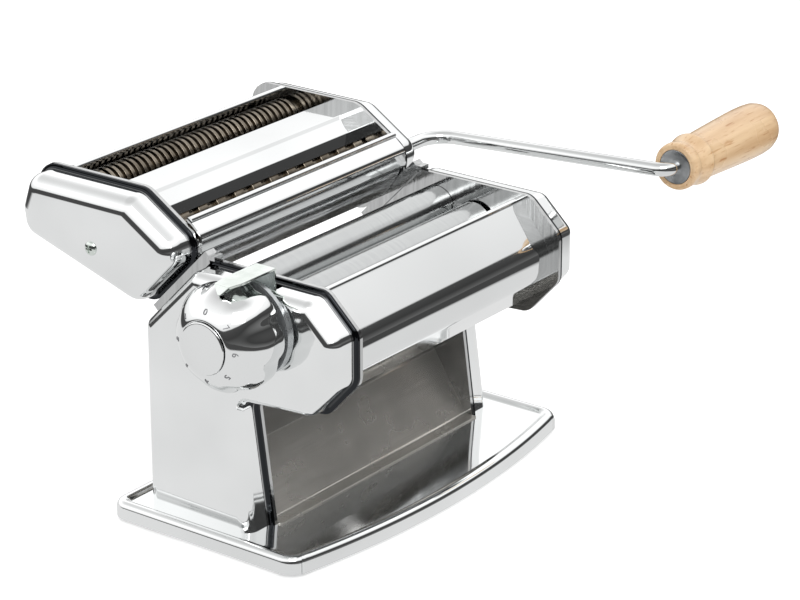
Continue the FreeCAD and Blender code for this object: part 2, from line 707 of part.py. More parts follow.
def side_plate(label, side, outline, holes):
    body = new_body(label)
    sketch = new_sketch(body, "YZ_Plane", f"{side}*inner_half")
    polygon(sketch, outline)
    pad(body, sketch, "plate_wall", away=side < 0)
    sketch = new_sketch(body, "YZ_Plane", f"{side}*inner_half")
    for place_yz, radius in holes:
        circle(sketch, place_yz, radius)
    pocket(body, sketch, "plate_wall", away=side > 0)
    return body


def foot_tab(body, side):
    """The side plate's lower edge is folded inwards and screwed to the base plate from below."""
    sketch = new_sketch(body, "XY_Plane", "base_top")
    inner = f"{side}*(inner_half-14)"
    rectangle(sketch, (inner, "foot_front_y+9"), (f"{side}*inner_half", "leg_back_y-9"))
    pad(body, sketch, "plate_wall")


def rim_test(side, depth):
    """Picks the edges round a pan's bottom at the depth given, but not at its open foot."""
    bottom = number(f"{side}*({PLATE_X}+{depth})")
    low = number("base_top+1")

    def wanted(edge):
        return lies_at(edge, "X", bottom) and max(v.Z for v in edge.Vertexes) > low
    return wanted


def side_cover(label, side, outline, rim, stands, holes):
    """A deep drawn pan: upright walls, a rounded rim, and a narrow flange round its mouth."""
    body = new_body(label)
    drawn = outline
    if stands:
        slope = "(knee_y-foot_front_y)/(axle_z-knee_drop-base_top)"
        front = (f"foot_front_y-6*{slope}", "base_top-6")
        drawn = [front] + outline[1:-1] + [("leg_back_y", "base_top-6")]
    inner_depth = "(cover_depth-cover_wall)"
    sketch = new_sketch(body, "YZ_Plane", f"{side}*{PLATE_X}")
    polygon(sketch, outline)
    pad(body, sketch, "flange_wall", away=side < 0)
    sketch = new_sketch(body, "YZ_Plane", f"{side}*{PLATE_X}")
    inset_polygon(sketch, drawn, ["flange_width"] * len(drawn))
    pad(body, sketch, "cover_depth", away=side < 0)
    sketch = new_sketch(body, "YZ_Plane", f"{side}*{PLATE_X}")
    inset_polygon(sketch, drawn, ["flange_width+cover_wall"] * len(drawn))
    pocket(body, sketch, inner_depth, away=side > 0)
    if stands:
        sketch = new_sketch(body, "YZ_Plane", f"{side}*{PLATE_X}")
        rectangle(sketch, ("-100", "base_top-20"), ("100", "base_top"))
        pocket(body, sketch, "cover_depth+1", away=side > 0)
    bevel(body, rim_test(side, inner_depth), f"0.75*({rim}-cover_wall)")
    fillet(body, rim_test(side, "cover_depth"), rim)
    if holes:
        sketch = new_sketch(body, "YZ_Plane", f"{side}*({FACE_X}+1)")
        for place_yz, radius in holes:
            circle(sketch, place_yz, radius)
        pocket(body, sketch, "cover_wall+4", away=side < 0)
    return body


def stand_sides():
    outline = eased(SIDE_OUTLINE, "cover_round", "knee_round")
    bush_hole = (REAR_AXIS, "axle_r+play+bush_wall+seat")
    left = side_plate("left_side_plate", -1, outline,
                      [bush_hole, (KNOB_AXIS, "journal_r+play+bush_wall+seat")])
    right = side_plate("right_side_plate", 1, outline,
                       [bush_hole, (KNOB_AXIS, "neck_r+throw+neck_gap")])
    foot_tab(left, -1)
    foot_tab(right, 1)
    side_cover("left_side_cover", -1, outline, "cover_rim", True, [(KNOB_AXIS, "pin_r+1")])
    side_cover("right_side_cover", 1, outline, "cover_rim", True, [(REAR_AXIS, "crank_r+3.7")])


def cutter_sides():
    outline = eased(CUTTER_OUTLINE, "cutter_round", "0")
    plain = [(a, "cutter_axle_r+play") for a in (WIDE_DRIVE, WIDE_OTHER, FINE_DRIVE, FINE_OTHER)]
    driven = [(a, "axle_r+play") for a in (WIDE_DRIVE, FINE_DRIVE)]
    driven += [(a, "cutter_axle_r+play") for a in (WIDE_OTHER, FINE_OTHER)]
    for name, side, bores in (("left", -1, plain), ("right", 1, driven)):
        side_plate(f"cutter_{name}_plate", side, outline, bores)
        sockets = [(a, "crank_r+3.7") for a in (WIDE_DRIVE, FINE_DRIVE)] if side > 0 else []
        side_cover(f"cutter_{name}_cover", side, outline, "cutter_rim", False, sockets)


# Tie rods between the side plates, and the hexagon heads that hold the stand's rods from outside

def tie_rods():
    for rods, radius in ((TIE_RODS, "rod_r"), (CUTTER_RODS, "thin_rod_r")):
        for label, place_yz in rods.items():
            keep(rod_x(label, "-inner_half", "inner_half", *place_yz, radius), label)
    heads = []
    for y, z in TIE_RODS.values():
        for start, end in ((f"-({PLATE_X}+nut_high)", f"-{PLATE_X}"), (PLATE_X, f"({PLATE_X}+nut_high)")):
            heads.append(prism_x("rod_head", start, end, y, z, "nut_r", 6))
    group("tie_rod_nuts", heads)


# Sheets between the side plates

def bent_sheet(label, line, wall, half, bends):
    """A bent sheet across the machine; each bend is a corner of the line and its face radius."""
    body = new_body(label)
    sketch = new_sketch(body, "YZ_Plane", f"-{half}")
    sheet_strip(sketch, line, wall)
    pad(body, sketch, f"2*{half}")
    thick = number(wall)
    for index, radius in bends:
        here = point(line[index])
        before = here - point(line[index - 1])
        after = point(line[index + 1]) - here
        outside_left = before.cross(after).z < 0
        other = f"{radius}+{wall}" if outside_left else f"{radius}-{wall}"

        def at_face(edge, here=here):
            middle = edge.CenterOfMass
            return runs_along_x(edge) and math.hypot(middle.y - here.x, middle.z - here.y) < 0.01

        def at_back(edge, here=here):
            middle = edge.CenterOfMass
            away = math.hypot(middle.y - here.x, middle.z - here.y)
            return runs_along_x(edge) and thick * 0.99 < away < thick * 1.45
        fillet(body, at_face, radius)
        if number(other) > 0:
            fillet(body, at_back, other)
    return body


def rolled_edge(body, place_yz, half):
    sketch = new_sketch(body, "YZ_Plane", f"-{half}")
    circle(sketch, place_yz, "lip_r")
    pad(body, sketch, f"2*{half}")


def front_hood():
    """The polished hood in front of the smooth rollers, with a rolled upper edge."""
    face = "(nose_y+hood_inset)"
    line = [
        ("hood_foot_y", "axle_z-hood_foot_drop"),
        (face, "axle_z-hood_chin_drop"),
        (face, "axle_z-hood_bend_drop"),
        ("hood_lip_y", "axle_z+hood_lip_rise"),
    ]
    line = line[::-1]
    body = bent_sheet("front_hood", line, "sheet", "inner_half", [(1, "hood_round"), (2, "hood_round")])
    rolled_edge(body, ("hood_lip_y+0.6", "axle_z+hood_lip_rise-0.6"), "inner_half")


def dough_chute():
    line = [
        ("chute_bend_y+chute_top*cos(chute_tilt)", f"{CHUTE_BEND}+chute_top*sin(chute_tilt)"),
        ("chute_bend_y", CHUTE_BEND),
        ("chute_heel_y", "base_top+chute_wall"),
        ("chute_toe_y", "base_top+chute_wall"),
    ]
    bent_sheet("dough_chute", line, "chute_wall", "inner_half", [(1, "4"), (2, "2")])


def roller_guards():
    """Small plates beside the front roller that keep the dough off the side plates."""
    for name, side in (("left", -1), ("right", 1)):
        body = new_body(f"{name}_roller_guard")
        sketch = new_sketch(body, "YZ_Plane", f"{side}*inner_half")
        rectangle(sketch, ("knob_y-guard_front", "axle_z-roller_r-guard_under"),
                  ("knob_y+guard_back", "axle_z+guard_rise"))
        pad(body, sketch, "guard_wall", away=side > 0)
        sketch = new_sketch(body, "YZ_Plane", f"{side}*inner_half")
        circle(sketch, REAR_AXIS, "roller_r+guard_gap")
        circle(sketch, KNOB_AXIS, "neck_r+throw+0.4")
        pocket(body, sketch, "guard_wall", away=side < 0)


def scrapers():
    """Spring steel blades under the smooth rollers, each resting against its tie rod."""
    reach = "(roller_r+throw+blade_gap)"
    rod_y, rod_z = TIE_RODS["front_tie_rod"]
    line = [
        (f"knob_y+{reach}*cos(255)", f"axle_z+{reach}*sin(255)"),
        (f"{rod_y}+3.9", f"{rod_z}+1.9"),
    ]
    bent_sheet("front_scraper", line, "blade_wall", "inner_half", [])
    reach = "(roller_r+blade_gap)"
    rod_y, rod_z = TIE_RODS["rear_tie_rod"]
    line = [
        (f"{rod_y}-3.8", f"{rod_z}+2.4"),
        (f"{REAR_Y}+{reach}*cos(285)", f"{REAR_Z}+{reach}*sin(285)"),
    ]
    bent_sheet("rear_scraper", line, "blade_wall", "inner_half", [])


# Bushes: rings pressed into the side plates, and one behind the right cover's face

def bush_pair(label, places):
    rings = []
    for start, end, place_yz, bore, wall in places:
        rings.append(tube_x("bush", start, end, *place_yz, f"({bore}+play+{wall})", f"({bore}+play)"))
    group(label, rings)


def bushes():
    inner, outer = "inner_half", f"({PLATE_X}+bush_stand)"
    bush_pair("rear_roller_bushes", [
        (f"-{outer}", f"-{inner}", REAR_AXIS, "axle_r", "bush_wall"),
        (inner, outer, REAR_AXIS, "axle_r", "bush_wall"),
    ])
    end = f"({FACE_X}-cover_wall)"
    bush_pair("eccentric_shaft_bushes", [
        (f"-{outer}", f"-{inner}", KNOB_AXIS, "journal_r", "bush_wall"),
        (f"({PIN_END}+bush_gap)", end, KNOB_AXIS, "end_journal_r", "end_bush_wall"),
    ])


# Gears: one outline of straight sided teeth, with a round bore or a square one

def gear(label, start, width, place_yz, turn, phase, form, bore, square=False):
    teeth, tip, root, tip_wide, root_wide = form
    body = new_body(label)
    sketch = new_sketch(body, "YZ_Plane", start)
    corners = []
    for i in range(round(number(teeth))):
        angle = f"({phase}+{i}*360/{teeth})"
        flank = ((root, root_wide), (tip, tip_wide))
        sides = [(radius, f"-{wide}") for radius, wide in flank] + list(reversed(flank))
        for radius, wide in sides:
            corners.append((f"{radius}*cos{angle}-0.5*({wide})*sin{angle}",
                            f"{radius}*sin{angle}+0.5*({wide})*cos{angle}"))
    polygon(sketch, corners)
    if square:
        rectangle(sketch, (f"-({bore})", f"-({bore})"), (bore, bore))
    else:
        circle(sketch, ("0", "0"), bore)
    pad(body, sketch, width)
    place(body, *place_yz, turn)


def roller_gears():
    """Long toothed gears that stay in mesh while the front roller moves on its eccentric."""
    tip = f"(0.5*{STEP}+tooth_reach)"
    root = f"({STEP}-throw-{tip}-tip_gap)"
    form = ("long_teeth", tip, root, "tooth_tip", "tooth_root")
    gear("rear_roller_gear", GEAR_X, "gear_wide", REAR_AXIS, None, "nip_tilt", form, "axle_r+seat")
    gear("front_roller_gear", GEAR_X, "gear_wide", FRONT_AXIS, None,
         "(nip_tilt+180/long_teeth+mesh_lean)", form, "neck_r+seat")


# Smooth rollers, eccentric shaft and its bushes

def crank_socket(body, face):
    """The round bore and the narrower slot that take the flattened tip of the crank."""
    sketch = new_sketch(body, "YZ_Plane", face)
    circle(sketch, ("0", "0"), "crank_r+socket_play")
    pocket(body, sketch, "socket_deep")
    sketch = new_sketch(body, "YZ_Plane", f"{face}-socket_deep")
    half = "(crank_flat/2+socket_play)"
    wide = "(crank_r+socket_play)"
    rectangle(sketch, (f"-{wide}", f"-{half}"), (wide, half))
    pocket(body, sketch, "slot_deep")


SOCKET_FACE = f"({FACE_X}-0.4)"


def smooth_rollers():
    half = "(inner_half-end_gap)"
    left_end = f"-({PLATE_X}+bush_stand+1)"
    body = new_body("rear_smooth_roller")
    turn_outline(body, [
        (left_end, "0"), (left_end, "axle_r"), (f"-{half}", "axle_r"), (f"-{half}", "roller_r"),
        (half, "roller_r"), (half, "axle_r"), (SOCKET_FACE, "axle_r"), (SOCKET_FACE, "0"),
    ])
    crank_socket(body, SOCKET_FACE)
    place(body, *REAR_AXIS)
    half = "(inner_half-guard_wall-end_gap)"
    neck = f"({GEAR_X}+gear_wide+0.8)"
    body = new_body("front_smooth_roller")
    turn_outline(body, [
        (f"-{half}", "roller_bore"), (f"-{half}", "roller_r"), (half, "roller_r"), (half, "neck_r"),
        (neck, "neck_r"), (neck, "roller_bore"),
    ])
    place(body, *FRONT_AXIS)
    bore = "pin_r+play"
    outer = "roller_bore-play"
    rings = [
        tube_x("bush_left", f"-{half}", f"-{half}+bush_long", *FRONT_AXIS, outer, bore),
        tube_x("bush_right", f"{neck}-bush_long", neck, *FRONT_AXIS, outer, bore),
    ]
    group("front_roller_bushes", rings)


def eccentric_shaft():
    """Journal, offset pin and end journal in one piece; the knob turns it."""
    body = new_body("eccentric_shaft")
    journal_end = f"-({PLATE_X}+bush_stand+4)"
    pin_start = "-(inner_half-guard_wall-0.1)"
    sketch = new_sketch(body, "YZ_Plane", journal_end)
    circle(sketch, ("0", "0"), "journal_r")
    pad(body, sketch, f"{pin_start}-({journal_end})")
    sketch = new_sketch(body, "YZ_Plane", pin_start)
    circle(sketch, ("-throw*cos(nip_tilt)", "-throw*sin(nip_tilt)"), "pin_r")
    pad(body, sketch, f"{PIN_END}-({pin_start})")
    sketch = new_sketch(body, "YZ_Plane", PIN_END)
    circle(sketch, ("0", "0"), "end_journal_r")
    pad(body, sketch, f"{FACE_X}-cover_wall-0.5-{PIN_END}")
    sketch = new_sketch(body, "YZ_Plane", f"-{STEM_END}")
    circle(sketch, ("0", "0"), "pin_r")
    pad(body, sketch, f"{STEM_END}+({journal_end})")
    sketch = new_sketch(body, "YZ_Plane", f"-{STEM_END}")
    circle(sketch, ("0", "0"), "collar_r")
    pad(body, sketch, f"{STEM_END}-{COLLAR_X}")
    place(body, *KNOB_AXIS)


# Regulator knob, its face disc, index pin and spring, the dial plate and the pointer

# The knob's side, seen along its axis: height over the back and radius over the lobes
KNOB_SIDE = [
    ("0", "knob_r-3"), ("1.5", "knob_r-0.6"), ("8", "knob_r"), ("14", "knob_r-1"),
    ("20", "knob_r-5"), ("knob_high-2", "knob_r-9.5"), ("knob_high", "face_r+1"),
]
POINTS_PER_LOBE = 4


def lobed_ring(x, radius):
    """Points round the knob: its radius, less where the hollow between two lobes goes deeper."""
    count = round(number("knob_lobes")) * POINTS_PER_LOBE
    hollow_r, hollow_out = number("flute_r"), number("flute_out")
    ring = []
    for i in range(count):
        off = (i % POINTS_PER_LOBE) * 2 * math.pi / count
        off = min(off, 2 * math.pi * POINTS_PER_LOBE / count - off)
        reach = number(radius)
        across = hollow_r ** 2 - (hollow_out * math.sin(off)) ** 2
        if across > 0:
            reach = min(reach, hollow_out * math.cos(off) - math.sqrt(across))
        angle = 2 * math.pi * i / count
        ring.append(Vector(-number(f"{KNOB_BACK}+{x}"), reach * math.cos(angle), reach * math.sin(angle)))
    return ring


def regulator_knob():
    """A domed knob with lobes; its stem, collar and spring lie in a counterbore."""
    body = doc.addObject("Part::Feature", "regulator_knob")
    solid = ringed_solid([lobed_ring(x, radius) for x, radius in KNOB_SIDE])
    solid = bored(solid, f"-({KNOB_FRONT}+1)", f"-({KNOB_BACK}-1)", "pin_r+play")
    solid = bored(solid, f"-({KNOB_FRONT}+1)", f"-({KNOB_BACK}+spring_seat)", "collar_r+0.4")
    body.Shape = solid
    keep(place(body, *KNOB_AXIS, "180/knob_lobes"), "regulator_knob")
    disc = prism_x("face_disc", f"-({KNOB_FRONT}+face_high)", f"-{KNOB_FRONT}", *KNOB_AXIS, "face_r", 32)
    keep(disc, "knob_face_disc")


def index_and_spring():
    turn = "(180/knob_lobes)"
    y = f"(knob_y+index_out*sin{turn})"
    z = f"(axle_z-index_out*cos{turn})"
    pin = prism_x("index_pin", f"-{KNOB_BACK}", f"-({FACE_X}+dial_wall+index_gap)", y, z, "index_r", 12)
    keep(pin, "knob_index_pin")
    start = f"(-{COLLAR_X}+0.1)"
    spring = ring_x("spring", start, f"-({KNOB_BACK}+spring_seat+0.1)", *KNOB_AXIS,
                    "pin_r+2.1", "pin_r+0.9", 16)
    keep(spring, "knob_spring")


def dial_plate():
    """A round plate on the left cover, behind the knob, that carries the numbers."""
    body = new_body("dial_plate")
    sketch = new_sketch(body, "YZ_Plane", f"-({FACE_X}+dial_wall)")
    polygon(sketch, ring_corners("dial_r", 36))
    circle(sketch, ("0", "0"), "pin_r+1")
    pad(body, sketch, "dial_wall")
    place(body, *KNOB_AXIS)


def pointer_bracket():
    """A bent zinc strip from the left cover's top, over the dial, ending in a pointer."""
    body = new_body("pointer_bracket")
    top = f"({HEAD_TOP}-flange_width)"
    near = "(flange_wall+1.5)"
    far = "(cover_depth-cover_rim-1)"
    sketch = new_sketch(body, "XZ_Plane", "-(knob_y+pointer_wide/2-4)")
    rise = "(axle_z+pointer_rise)"
    out = f"({KNOB_BACK}+pointer_reach)"
    line = [
        (f"-({PLATE_X}+{near})", top),
        (f"-({PLATE_X}+{far})", top),
        (f"-({PLATE_X}+{far})", rise),
        (f"-{out}", rise),
        (f"-({out}+2)", f"{rise}-pointer_drop"),
    ]
    sheet_strip(sketch, line[::-1], "pointer_wall")
    pad(body, sketch, "pointer_wide")


# Cutter unit: covers between its plates, guides on the rail edge, rollers, combs and gears

def cutter_covers():
    y, z = HEAD_BACK, HEAD_TOP
    line = [
        (f"{y}+30.4", f"{z}+9.4"), (f"{y}+34.2", f"{z}+20.5"), (f"{y}+57.6", f"{z}+20.5"),
    ]
    bent_sheet("cutter_middle_cover", line[::-1], "sheet", "inner_half", [(1, "14.5")])
    line = [
        (f"{y}+13.4", f"{z}+14.2"), (f"{y}+6.4", f"{z}+8.2"), (f"{y}+6.4", f"{z}"),
        (f"{y}+16.8", f"{z}-16"),
    ]
    body = bent_sheet("cutter_front_cover", line, "sheet", "inner_half", [(1, "4"), (2, "4")])
    rolled_edge(body, (f"{y}+13.2", f"{z}+14.0"), "inner_half")
    for side in (-1, 1):
        sketch = new_sketch(body, "YZ_Plane", f"{side}*(inner_half-guide_gap-guide_leg-0.3)")
        polygon(sketch, [rail("-1", "-3"), rail("45", "-3"), rail("45", "cutter_gap+0.3"),
                         rail("-1", "cutter_gap+0.3")])
        pocket(body, sketch, "guide_gap+guide_leg+0.3", away=side > 0)
    line = [
        (f"{y}+94.6", f"{z}+3"), (f"{y}+92.6", f"{z}+20"), (f"{y}+81", f"{z}+24.6"),
    ]
    body = bent_sheet("cutter_rear_cover", line, "sheet", "inner_half", [(1, "4")])
    rolled_edge(body, (f"{y}+80.8", f"{z}+24.2"), "inner_half")


def rail_guides():
    """Channels under the cutter unit's plates that slide on the slanted edges of the stand."""
    for name, side in (("left", -1), ("right", 1)):
        body = new_body(f"{name}_rail_guide")
        inner = "(inner_half-guide_gap-guide_leg)"
        outer = f"({PLATE_X}+flange_wall+guide_gap+guide_leg)"
        sketch = new_sketch(body, "YZ_Plane", f"{side}*{inner}")
        polygon(sketch, [rail("0", "-guide_grip"), rail("guide_end", "-guide_grip"),
                         rail("guide_end", "cutter_gap"), rail("guide_start", "cutter_gap"),
                         rail("guide_start", "guide_gap")])
        pad(body, sketch, f"{outer}-{inner}", away=side < 0)
        sketch = new_sketch(body, "YZ_Plane", f"{side}*(inner_half-guide_gap)")
        polygon(sketch, [rail("-4", "-guide_grip-1"), rail("guide_end+1", "-guide_grip-1"),
                         rail("guide_end+1", "guide_gap"), rail("-4", "guide_gap")])
        groove = f"{PLATE_X}+flange_wall+guide_gap-(inner_half-guide_gap)"
        pocket(body, sketch, groove, away=side > 0)
        stop_z = f"({HEAD_TOP}+play)"
        sketch = new_sketch(body, "YZ_Plane", f"{side}*{inner}")
        top_y, top_z = rail("guide_start", "guide_gap+0.6")
        low_y, low_z = rail("guide_start", "guide_gap")
        polygon(sketch, [(f"{low_y}+1.6", stop_z), (f"{top_y}+1.2", top_z),
                         (f"{low_y}-3", top_z), (f"{low_y}-3", stop_z)])
        pad(body, sketch, f"{outer}-{inner}", away=side < 0)


def ring_corners(radius, sides):
    """Corners of a regular polygon, as many as its sides."""
    angles = [360 * i / sides for i in range(sides)]
    return [(f"{radius}*cos({a:g})", f"{radius}*sin({a:g})") for a in angles]


CORE_SIDES = 4
DISC_SIDES = {"wide": 10, "fine": 8}


def cutter_roller(label, place_yz, cut_width, discs, sides, driven, turn=None):
    """A core with square shouldered discs; two of them interleave and shear the dough."""
    body = new_body(label)
    half = "(inner_half-end_gap)"
    sketch = new_sketch(body, "YZ_Plane", f"-{half}")
    polygon(sketch, ring_corners("core_r", CORE_SIDES))
    pad(body, sketch, f"2*{half}")
    first = f"-(({discs}-1)*{cut_width}+{cut_width}/2-disc_gap)"
    sketch = new_sketch(body, "YZ_Plane", first)
    polygon(sketch, ring_corners("disc_r", sides))
    disc = pad(body, sketch, f"{cut_width}-2*disc_gap")
    row_of(body, disc, discs, f"2*{cut_width}")
    sketch = new_sketch(body, "YZ_Plane", f"-({PLATE_X}+1)")
    circle(sketch, ("0", "0"), "cutter_axle_r")
    pad(body, sketch, f"{PLATE_X}+1-{half}")
    sketch = new_sketch(body, "YZ_Plane", f"-({PLATE_X}+1+spur_wide)")
    rectangle(sketch, ("-tenon_half", "-tenon_half"), ("tenon_half", "tenon_half"))
    pad(body, sketch, "spur_wide")
    right_end = SOCKET_FACE if driven else f"({PLATE_X}+2)"
    sketch = new_sketch(body, "YZ_Plane", half)
    circle(sketch, ("0", "0"), "axle_r" if driven else "cutter_axle_r")
    pad(body, sketch, f"{right_end}-{half}")
    if driven:
        crank_socket(body, SOCKET_FACE)
    place(body, *place_yz, turn)


def comb(label, place_yz, lean, cut_width, teeth):
    """A bar under a cutter roller with one tooth in each gap between its discs."""
    body = new_body(label)
    sketch = new_sketch(body, "YZ_Plane", "-inner_half")
    rectangle(sketch, ("-comb_wide/2", "-(comb_drop+comb_high)"), ("comb_wide/2", "-comb_drop"))
    pad(body, sketch, "2*inner_half")
    first = f"-(({teeth}-1)*{cut_width}+{cut_width}/2-comb_gap)"
    sketch = new_sketch(body, "YZ_Plane", first)
    root = "-(comb_drop+0.5)"
    polygon(sketch, [("-comb_wide/2+0.5", root), ("comb_wide/2-0.5", root), ("0", "-comb_reach")])
    tooth = pad(body, sketch, f"{cut_width}-2*comb_gap")
    row_of(body, tooth, teeth, f"2*{cut_width}")
    place(body, *place_yz, lean)


def cutter_pairs():
    pairs = (
        ("wide", WIDE_DRIVE, WIDE_OTHER, "wide_cut", "wide_discs", "(wide_discs+1)", "wide_tilt",
         "-crank_dip"),
        ("fine", FINE_DRIVE, FINE_OTHER, "fine_cut", "fine_discs", "(fine_discs-1)", "fine_tilt",
         "0"),
    )
    module = "(cutter_step/spur_teeth)"
    tip = f"(cutter_step/2+0.7*{module})"
    root = f"(cutter_step/2-1.2*{module})"
    form = ("spur_teeth", tip, root, f"(0.7*{module})", f"(2.0*{module})")
    start = f"-({PLATE_X}+1+spur_wide)"
    for name, drive, other, width, drive_discs, other_discs, tilt, turn in pairs:
        sides = DISC_SIDES[name]
        cutter_roller(f"{name}_cutter_drive", drive, width, drive_discs, sides, True, turn)
        cutter_roller(f"{name}_cutter_follower", other, width, other_discs, sides, False)
        comb(f"{name}_drive_comb", drive, f"{tilt}-comb_side", width, other_discs)
        comb(f"{name}_follower_comb", other, f"{tilt}+comb_side", width, drive_discs)
        bore = "tenon_half+seat"
        gear(f"{name}_drive_gear", start, "spur_wide", drive, turn, f"({tilt}-({turn}))", form, bore, True)
        gear(f"{name}_follower_gear", start, "spur_wide", other, None, f"({tilt}+180/spur_teeth)",
             form, bore, True)


def cover_screws():
    heads = []
    top = f"({FACE_X}+screw_head_high)"
    for start, end in ((f"-{top}", f"-{FACE_X}"), (FACE_X, top)):
        heads.append(prism_x("cover_screw", start, end, *COVER_SCREW, "screw_head_r", 16))
    group("cutter_cover_screws", heads)


# Crank: a bent steel rod with a flattened tip, a washer and a turned wooden grip

TIP_X = f"({SOCKET_FACE}-socket_deep-slot_deep+0.3)"
GRIP_END = f"({GRIP_X}+grip_long)"


ROD_SIDES = 12
GRIP_SIDES = 20
GRIP_SIDE = [
    ("washer_high", "washer_r+0.2"), ("0", "washer_r+0.2"), ("0", "10.6"), ("1", "11.3"),
    ("5", "11.3"), ("6.8", "10.4"), ("13.5", "12.2"), ("15.3", "12.2"), ("15.3", "11"),
    ("grip_long-14", "12.7"), ("grip_long-5", "12.4"), ("grip_long", "7.5"),
]


def rod_section(body, role, offset, across, middle):
    """The rod's section on a plane whose upright axis stands where it is told."""
    sketch = new_sketch(body, role, offset)
    sketch.setExpression("AttachmentOffset.Base.x", full(across))
    corners = ring_corners("crank_r", ROD_SIDES)
    polygon(sketch, [(f"{middle}+{a}", b) for a, b in corners])
    return sketch


def crank_rod():
    """Shaft, a bend to the arm, and a bend to the pin that carries the grip."""
    body = new_body("crank_rod")
    shaft_end = f"({ARM_X}-crank_bend)"
    arm_end = "(crank_arm-grip_bend)"
    pad(body, rod_section(body, "YZ_Plane", TIP_X, "0", "0"), f"{shaft_end}-{TIP_X}")
    bend = rod_section(body, "YZ_Plane", shaft_end, "-crank_bend", "crank_bend")
    revolve(body, bend, "V_Axis", 90, away=True)
    pad(body, rod_section(body, "XZ_Plane", "crank_bend", ARM_X, "0"), f"{arm_end}-crank_bend")
    bend = rod_section(body, "XZ_Plane", arm_end, f"{ARM_X}+grip_bend", "-grip_bend")
    revolve(body, bend, "V_Axis", 90)
    pin_start = f"({ARM_X}+grip_bend)"
    pin = rod_section(body, "YZ_Plane", pin_start, "-crank_arm", "0")
    pad(body, pin, f"{GRIP_END}-10-{pin_start}")
    for side in (-1, 1):
        sketch = new_sketch(body, "YZ_Plane", TIP_X)
        low, high = sorted((f"{side}*crank_flat/2", f"{side}*(crank_r+1)"), key=number)
        rectangle(sketch, ("-crank_r-1", low), ("crank_r+1", high))
        pocket(body, sketch, "slot_deep-0.2", away=True)
    place(body, *WIDE_DRIVE, "-crank_dip")


def crank_grip():
    """Beech grip: a collar round the washer, a waist, a bead and a long swelling barrel."""
    axis_y = f"({WIDE_DRIVE[0]}-crank_arm*cos(crank_dip))"
    axis_z = f"({WIDE_DRIVE[1]}+crank_arm*sin(crank_dip))"
    rings = []
    for x, radius in GRIP_SIDE:
        reach = number(radius)
        steps = [2 * math.pi * i / GRIP_SIDES for i in range(GRIP_SIDES)]
        x = number(f"{GRIP_X}+{x}")
        rings.append([Vector(x, reach * math.cos(a), reach * math.sin(a)) for a in steps])
    body = doc.addObject("Part::Feature", "crank_grip")
    body.Shape = bored(ringed_solid(rings), GRIP_X, f"{GRIP_END}-8", "crank_r+play")
    keep(place(body, axis_y, axis_z), "crank_grip")
    washer_end = f"{GRIP_X}+washer_high"
    washer = ring_x("washer", GRIP_X, washer_end, axis_y, axis_z, "washer_r", "crank_r+0.2", 24)
    keep(washer, "crank_washer")


base_plate()
feet_and_screws()
stand_sides()
tie_rods()
front_hood()
dough_chute()
roller_guards()
scrapers()
bushes()
roller_gears()
smooth_rollers()
eccentric_shaft()
regulator_knob()
index_and_spring()
dial_plate()
pointer_bracket()
cutter_sides()
cutter_covers()
rail_guides()
cutter_pairs()
cover_screws()
crank_rod()
crank_grip()
doc.recompute()

# Every object must be sound before anything is written
faults = [o.Label for o in doc.Objects if {"Invalid", "Error"} & set(o.State)]
faults += [p.Label for p in parts if p.Shape.isNull() or not p.Shape.isValid()]
if faults:
    raise RuntimeError("unsound: " + ", ".join(faults))
os.makedirs("parts", exist_ok=True)
for part in parts:
    part.Shape.exportStep(f"parts/{part.Label}.step")
print(len(parts), "parts written")
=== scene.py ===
import math

import bmesh
import bpy
from mathutils import Matrix, Vector


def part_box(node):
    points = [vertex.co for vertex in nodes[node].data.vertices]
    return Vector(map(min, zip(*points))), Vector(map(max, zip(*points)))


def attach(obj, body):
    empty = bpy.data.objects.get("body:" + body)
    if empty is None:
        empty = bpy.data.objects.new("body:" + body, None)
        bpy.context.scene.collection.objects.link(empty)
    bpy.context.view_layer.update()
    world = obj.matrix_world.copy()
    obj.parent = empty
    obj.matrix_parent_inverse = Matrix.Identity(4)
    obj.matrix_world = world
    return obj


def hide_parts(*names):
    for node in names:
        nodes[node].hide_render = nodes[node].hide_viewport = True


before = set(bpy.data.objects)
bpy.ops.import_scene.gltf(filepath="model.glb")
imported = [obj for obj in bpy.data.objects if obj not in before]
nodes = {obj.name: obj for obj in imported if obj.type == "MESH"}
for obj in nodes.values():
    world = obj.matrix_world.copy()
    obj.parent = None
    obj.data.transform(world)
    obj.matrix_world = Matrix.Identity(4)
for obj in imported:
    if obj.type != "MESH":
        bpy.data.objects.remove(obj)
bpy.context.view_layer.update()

# Base plate: one sheet of stainless steel pressed with a raised bead round its edge and a bowed
# front. It is polished like a mirror, so the legs and the chute show in it.

MM = 0.001
PLATE_TOP = 7.6
PLATE_HALF = 102.5
PLATE_REAR = 59.0
BOW_RADIUS = 430.0
BOW_FRONT = -58.6
BOW_STEPS = 40
BACK_CORNER = 8.0
FRONT_CORNER = 10.0
LEAST_CORNER = 0.8
CORNER_STEPS = 12
BEAD_SIDE = [
    (1.0, 6.6), (1.0, 1.7), (0.7, 1.5), (0.0, 1.6), (0.0, 5.9), (0.25, 7.3), (0.9, 8.5),
    (1.9, 9.25), (3.0, 9.5), (4.3, 9.3), (5.3, 8.7), (6.0, 8.0), (6.7, 7.65), (7.6, 7.6),
]
EVEN = (1.0, 1.0, 1.0)


def node(tree, kind, inputs=(), **settings):
    """A node with its settings, and with its inputs linked to outputs or given values."""
    made = tree.nodes.new(kind)
    for key, value in settings.items():
        setattr(made, key, value)
    for key, value in dict(inputs).items():
        if isinstance(value, bpy.types.NodeSocket):
            tree.links.new(value, made.inputs[key])
        else:
            made.inputs[key].default_value = value
    return made


def maths(tree, operation, *values):
    """The result of a sum on outputs and numbers."""
    return node(tree, "ShaderNodeMath", dict(enumerate(values)), operation=operation).outputs[0]


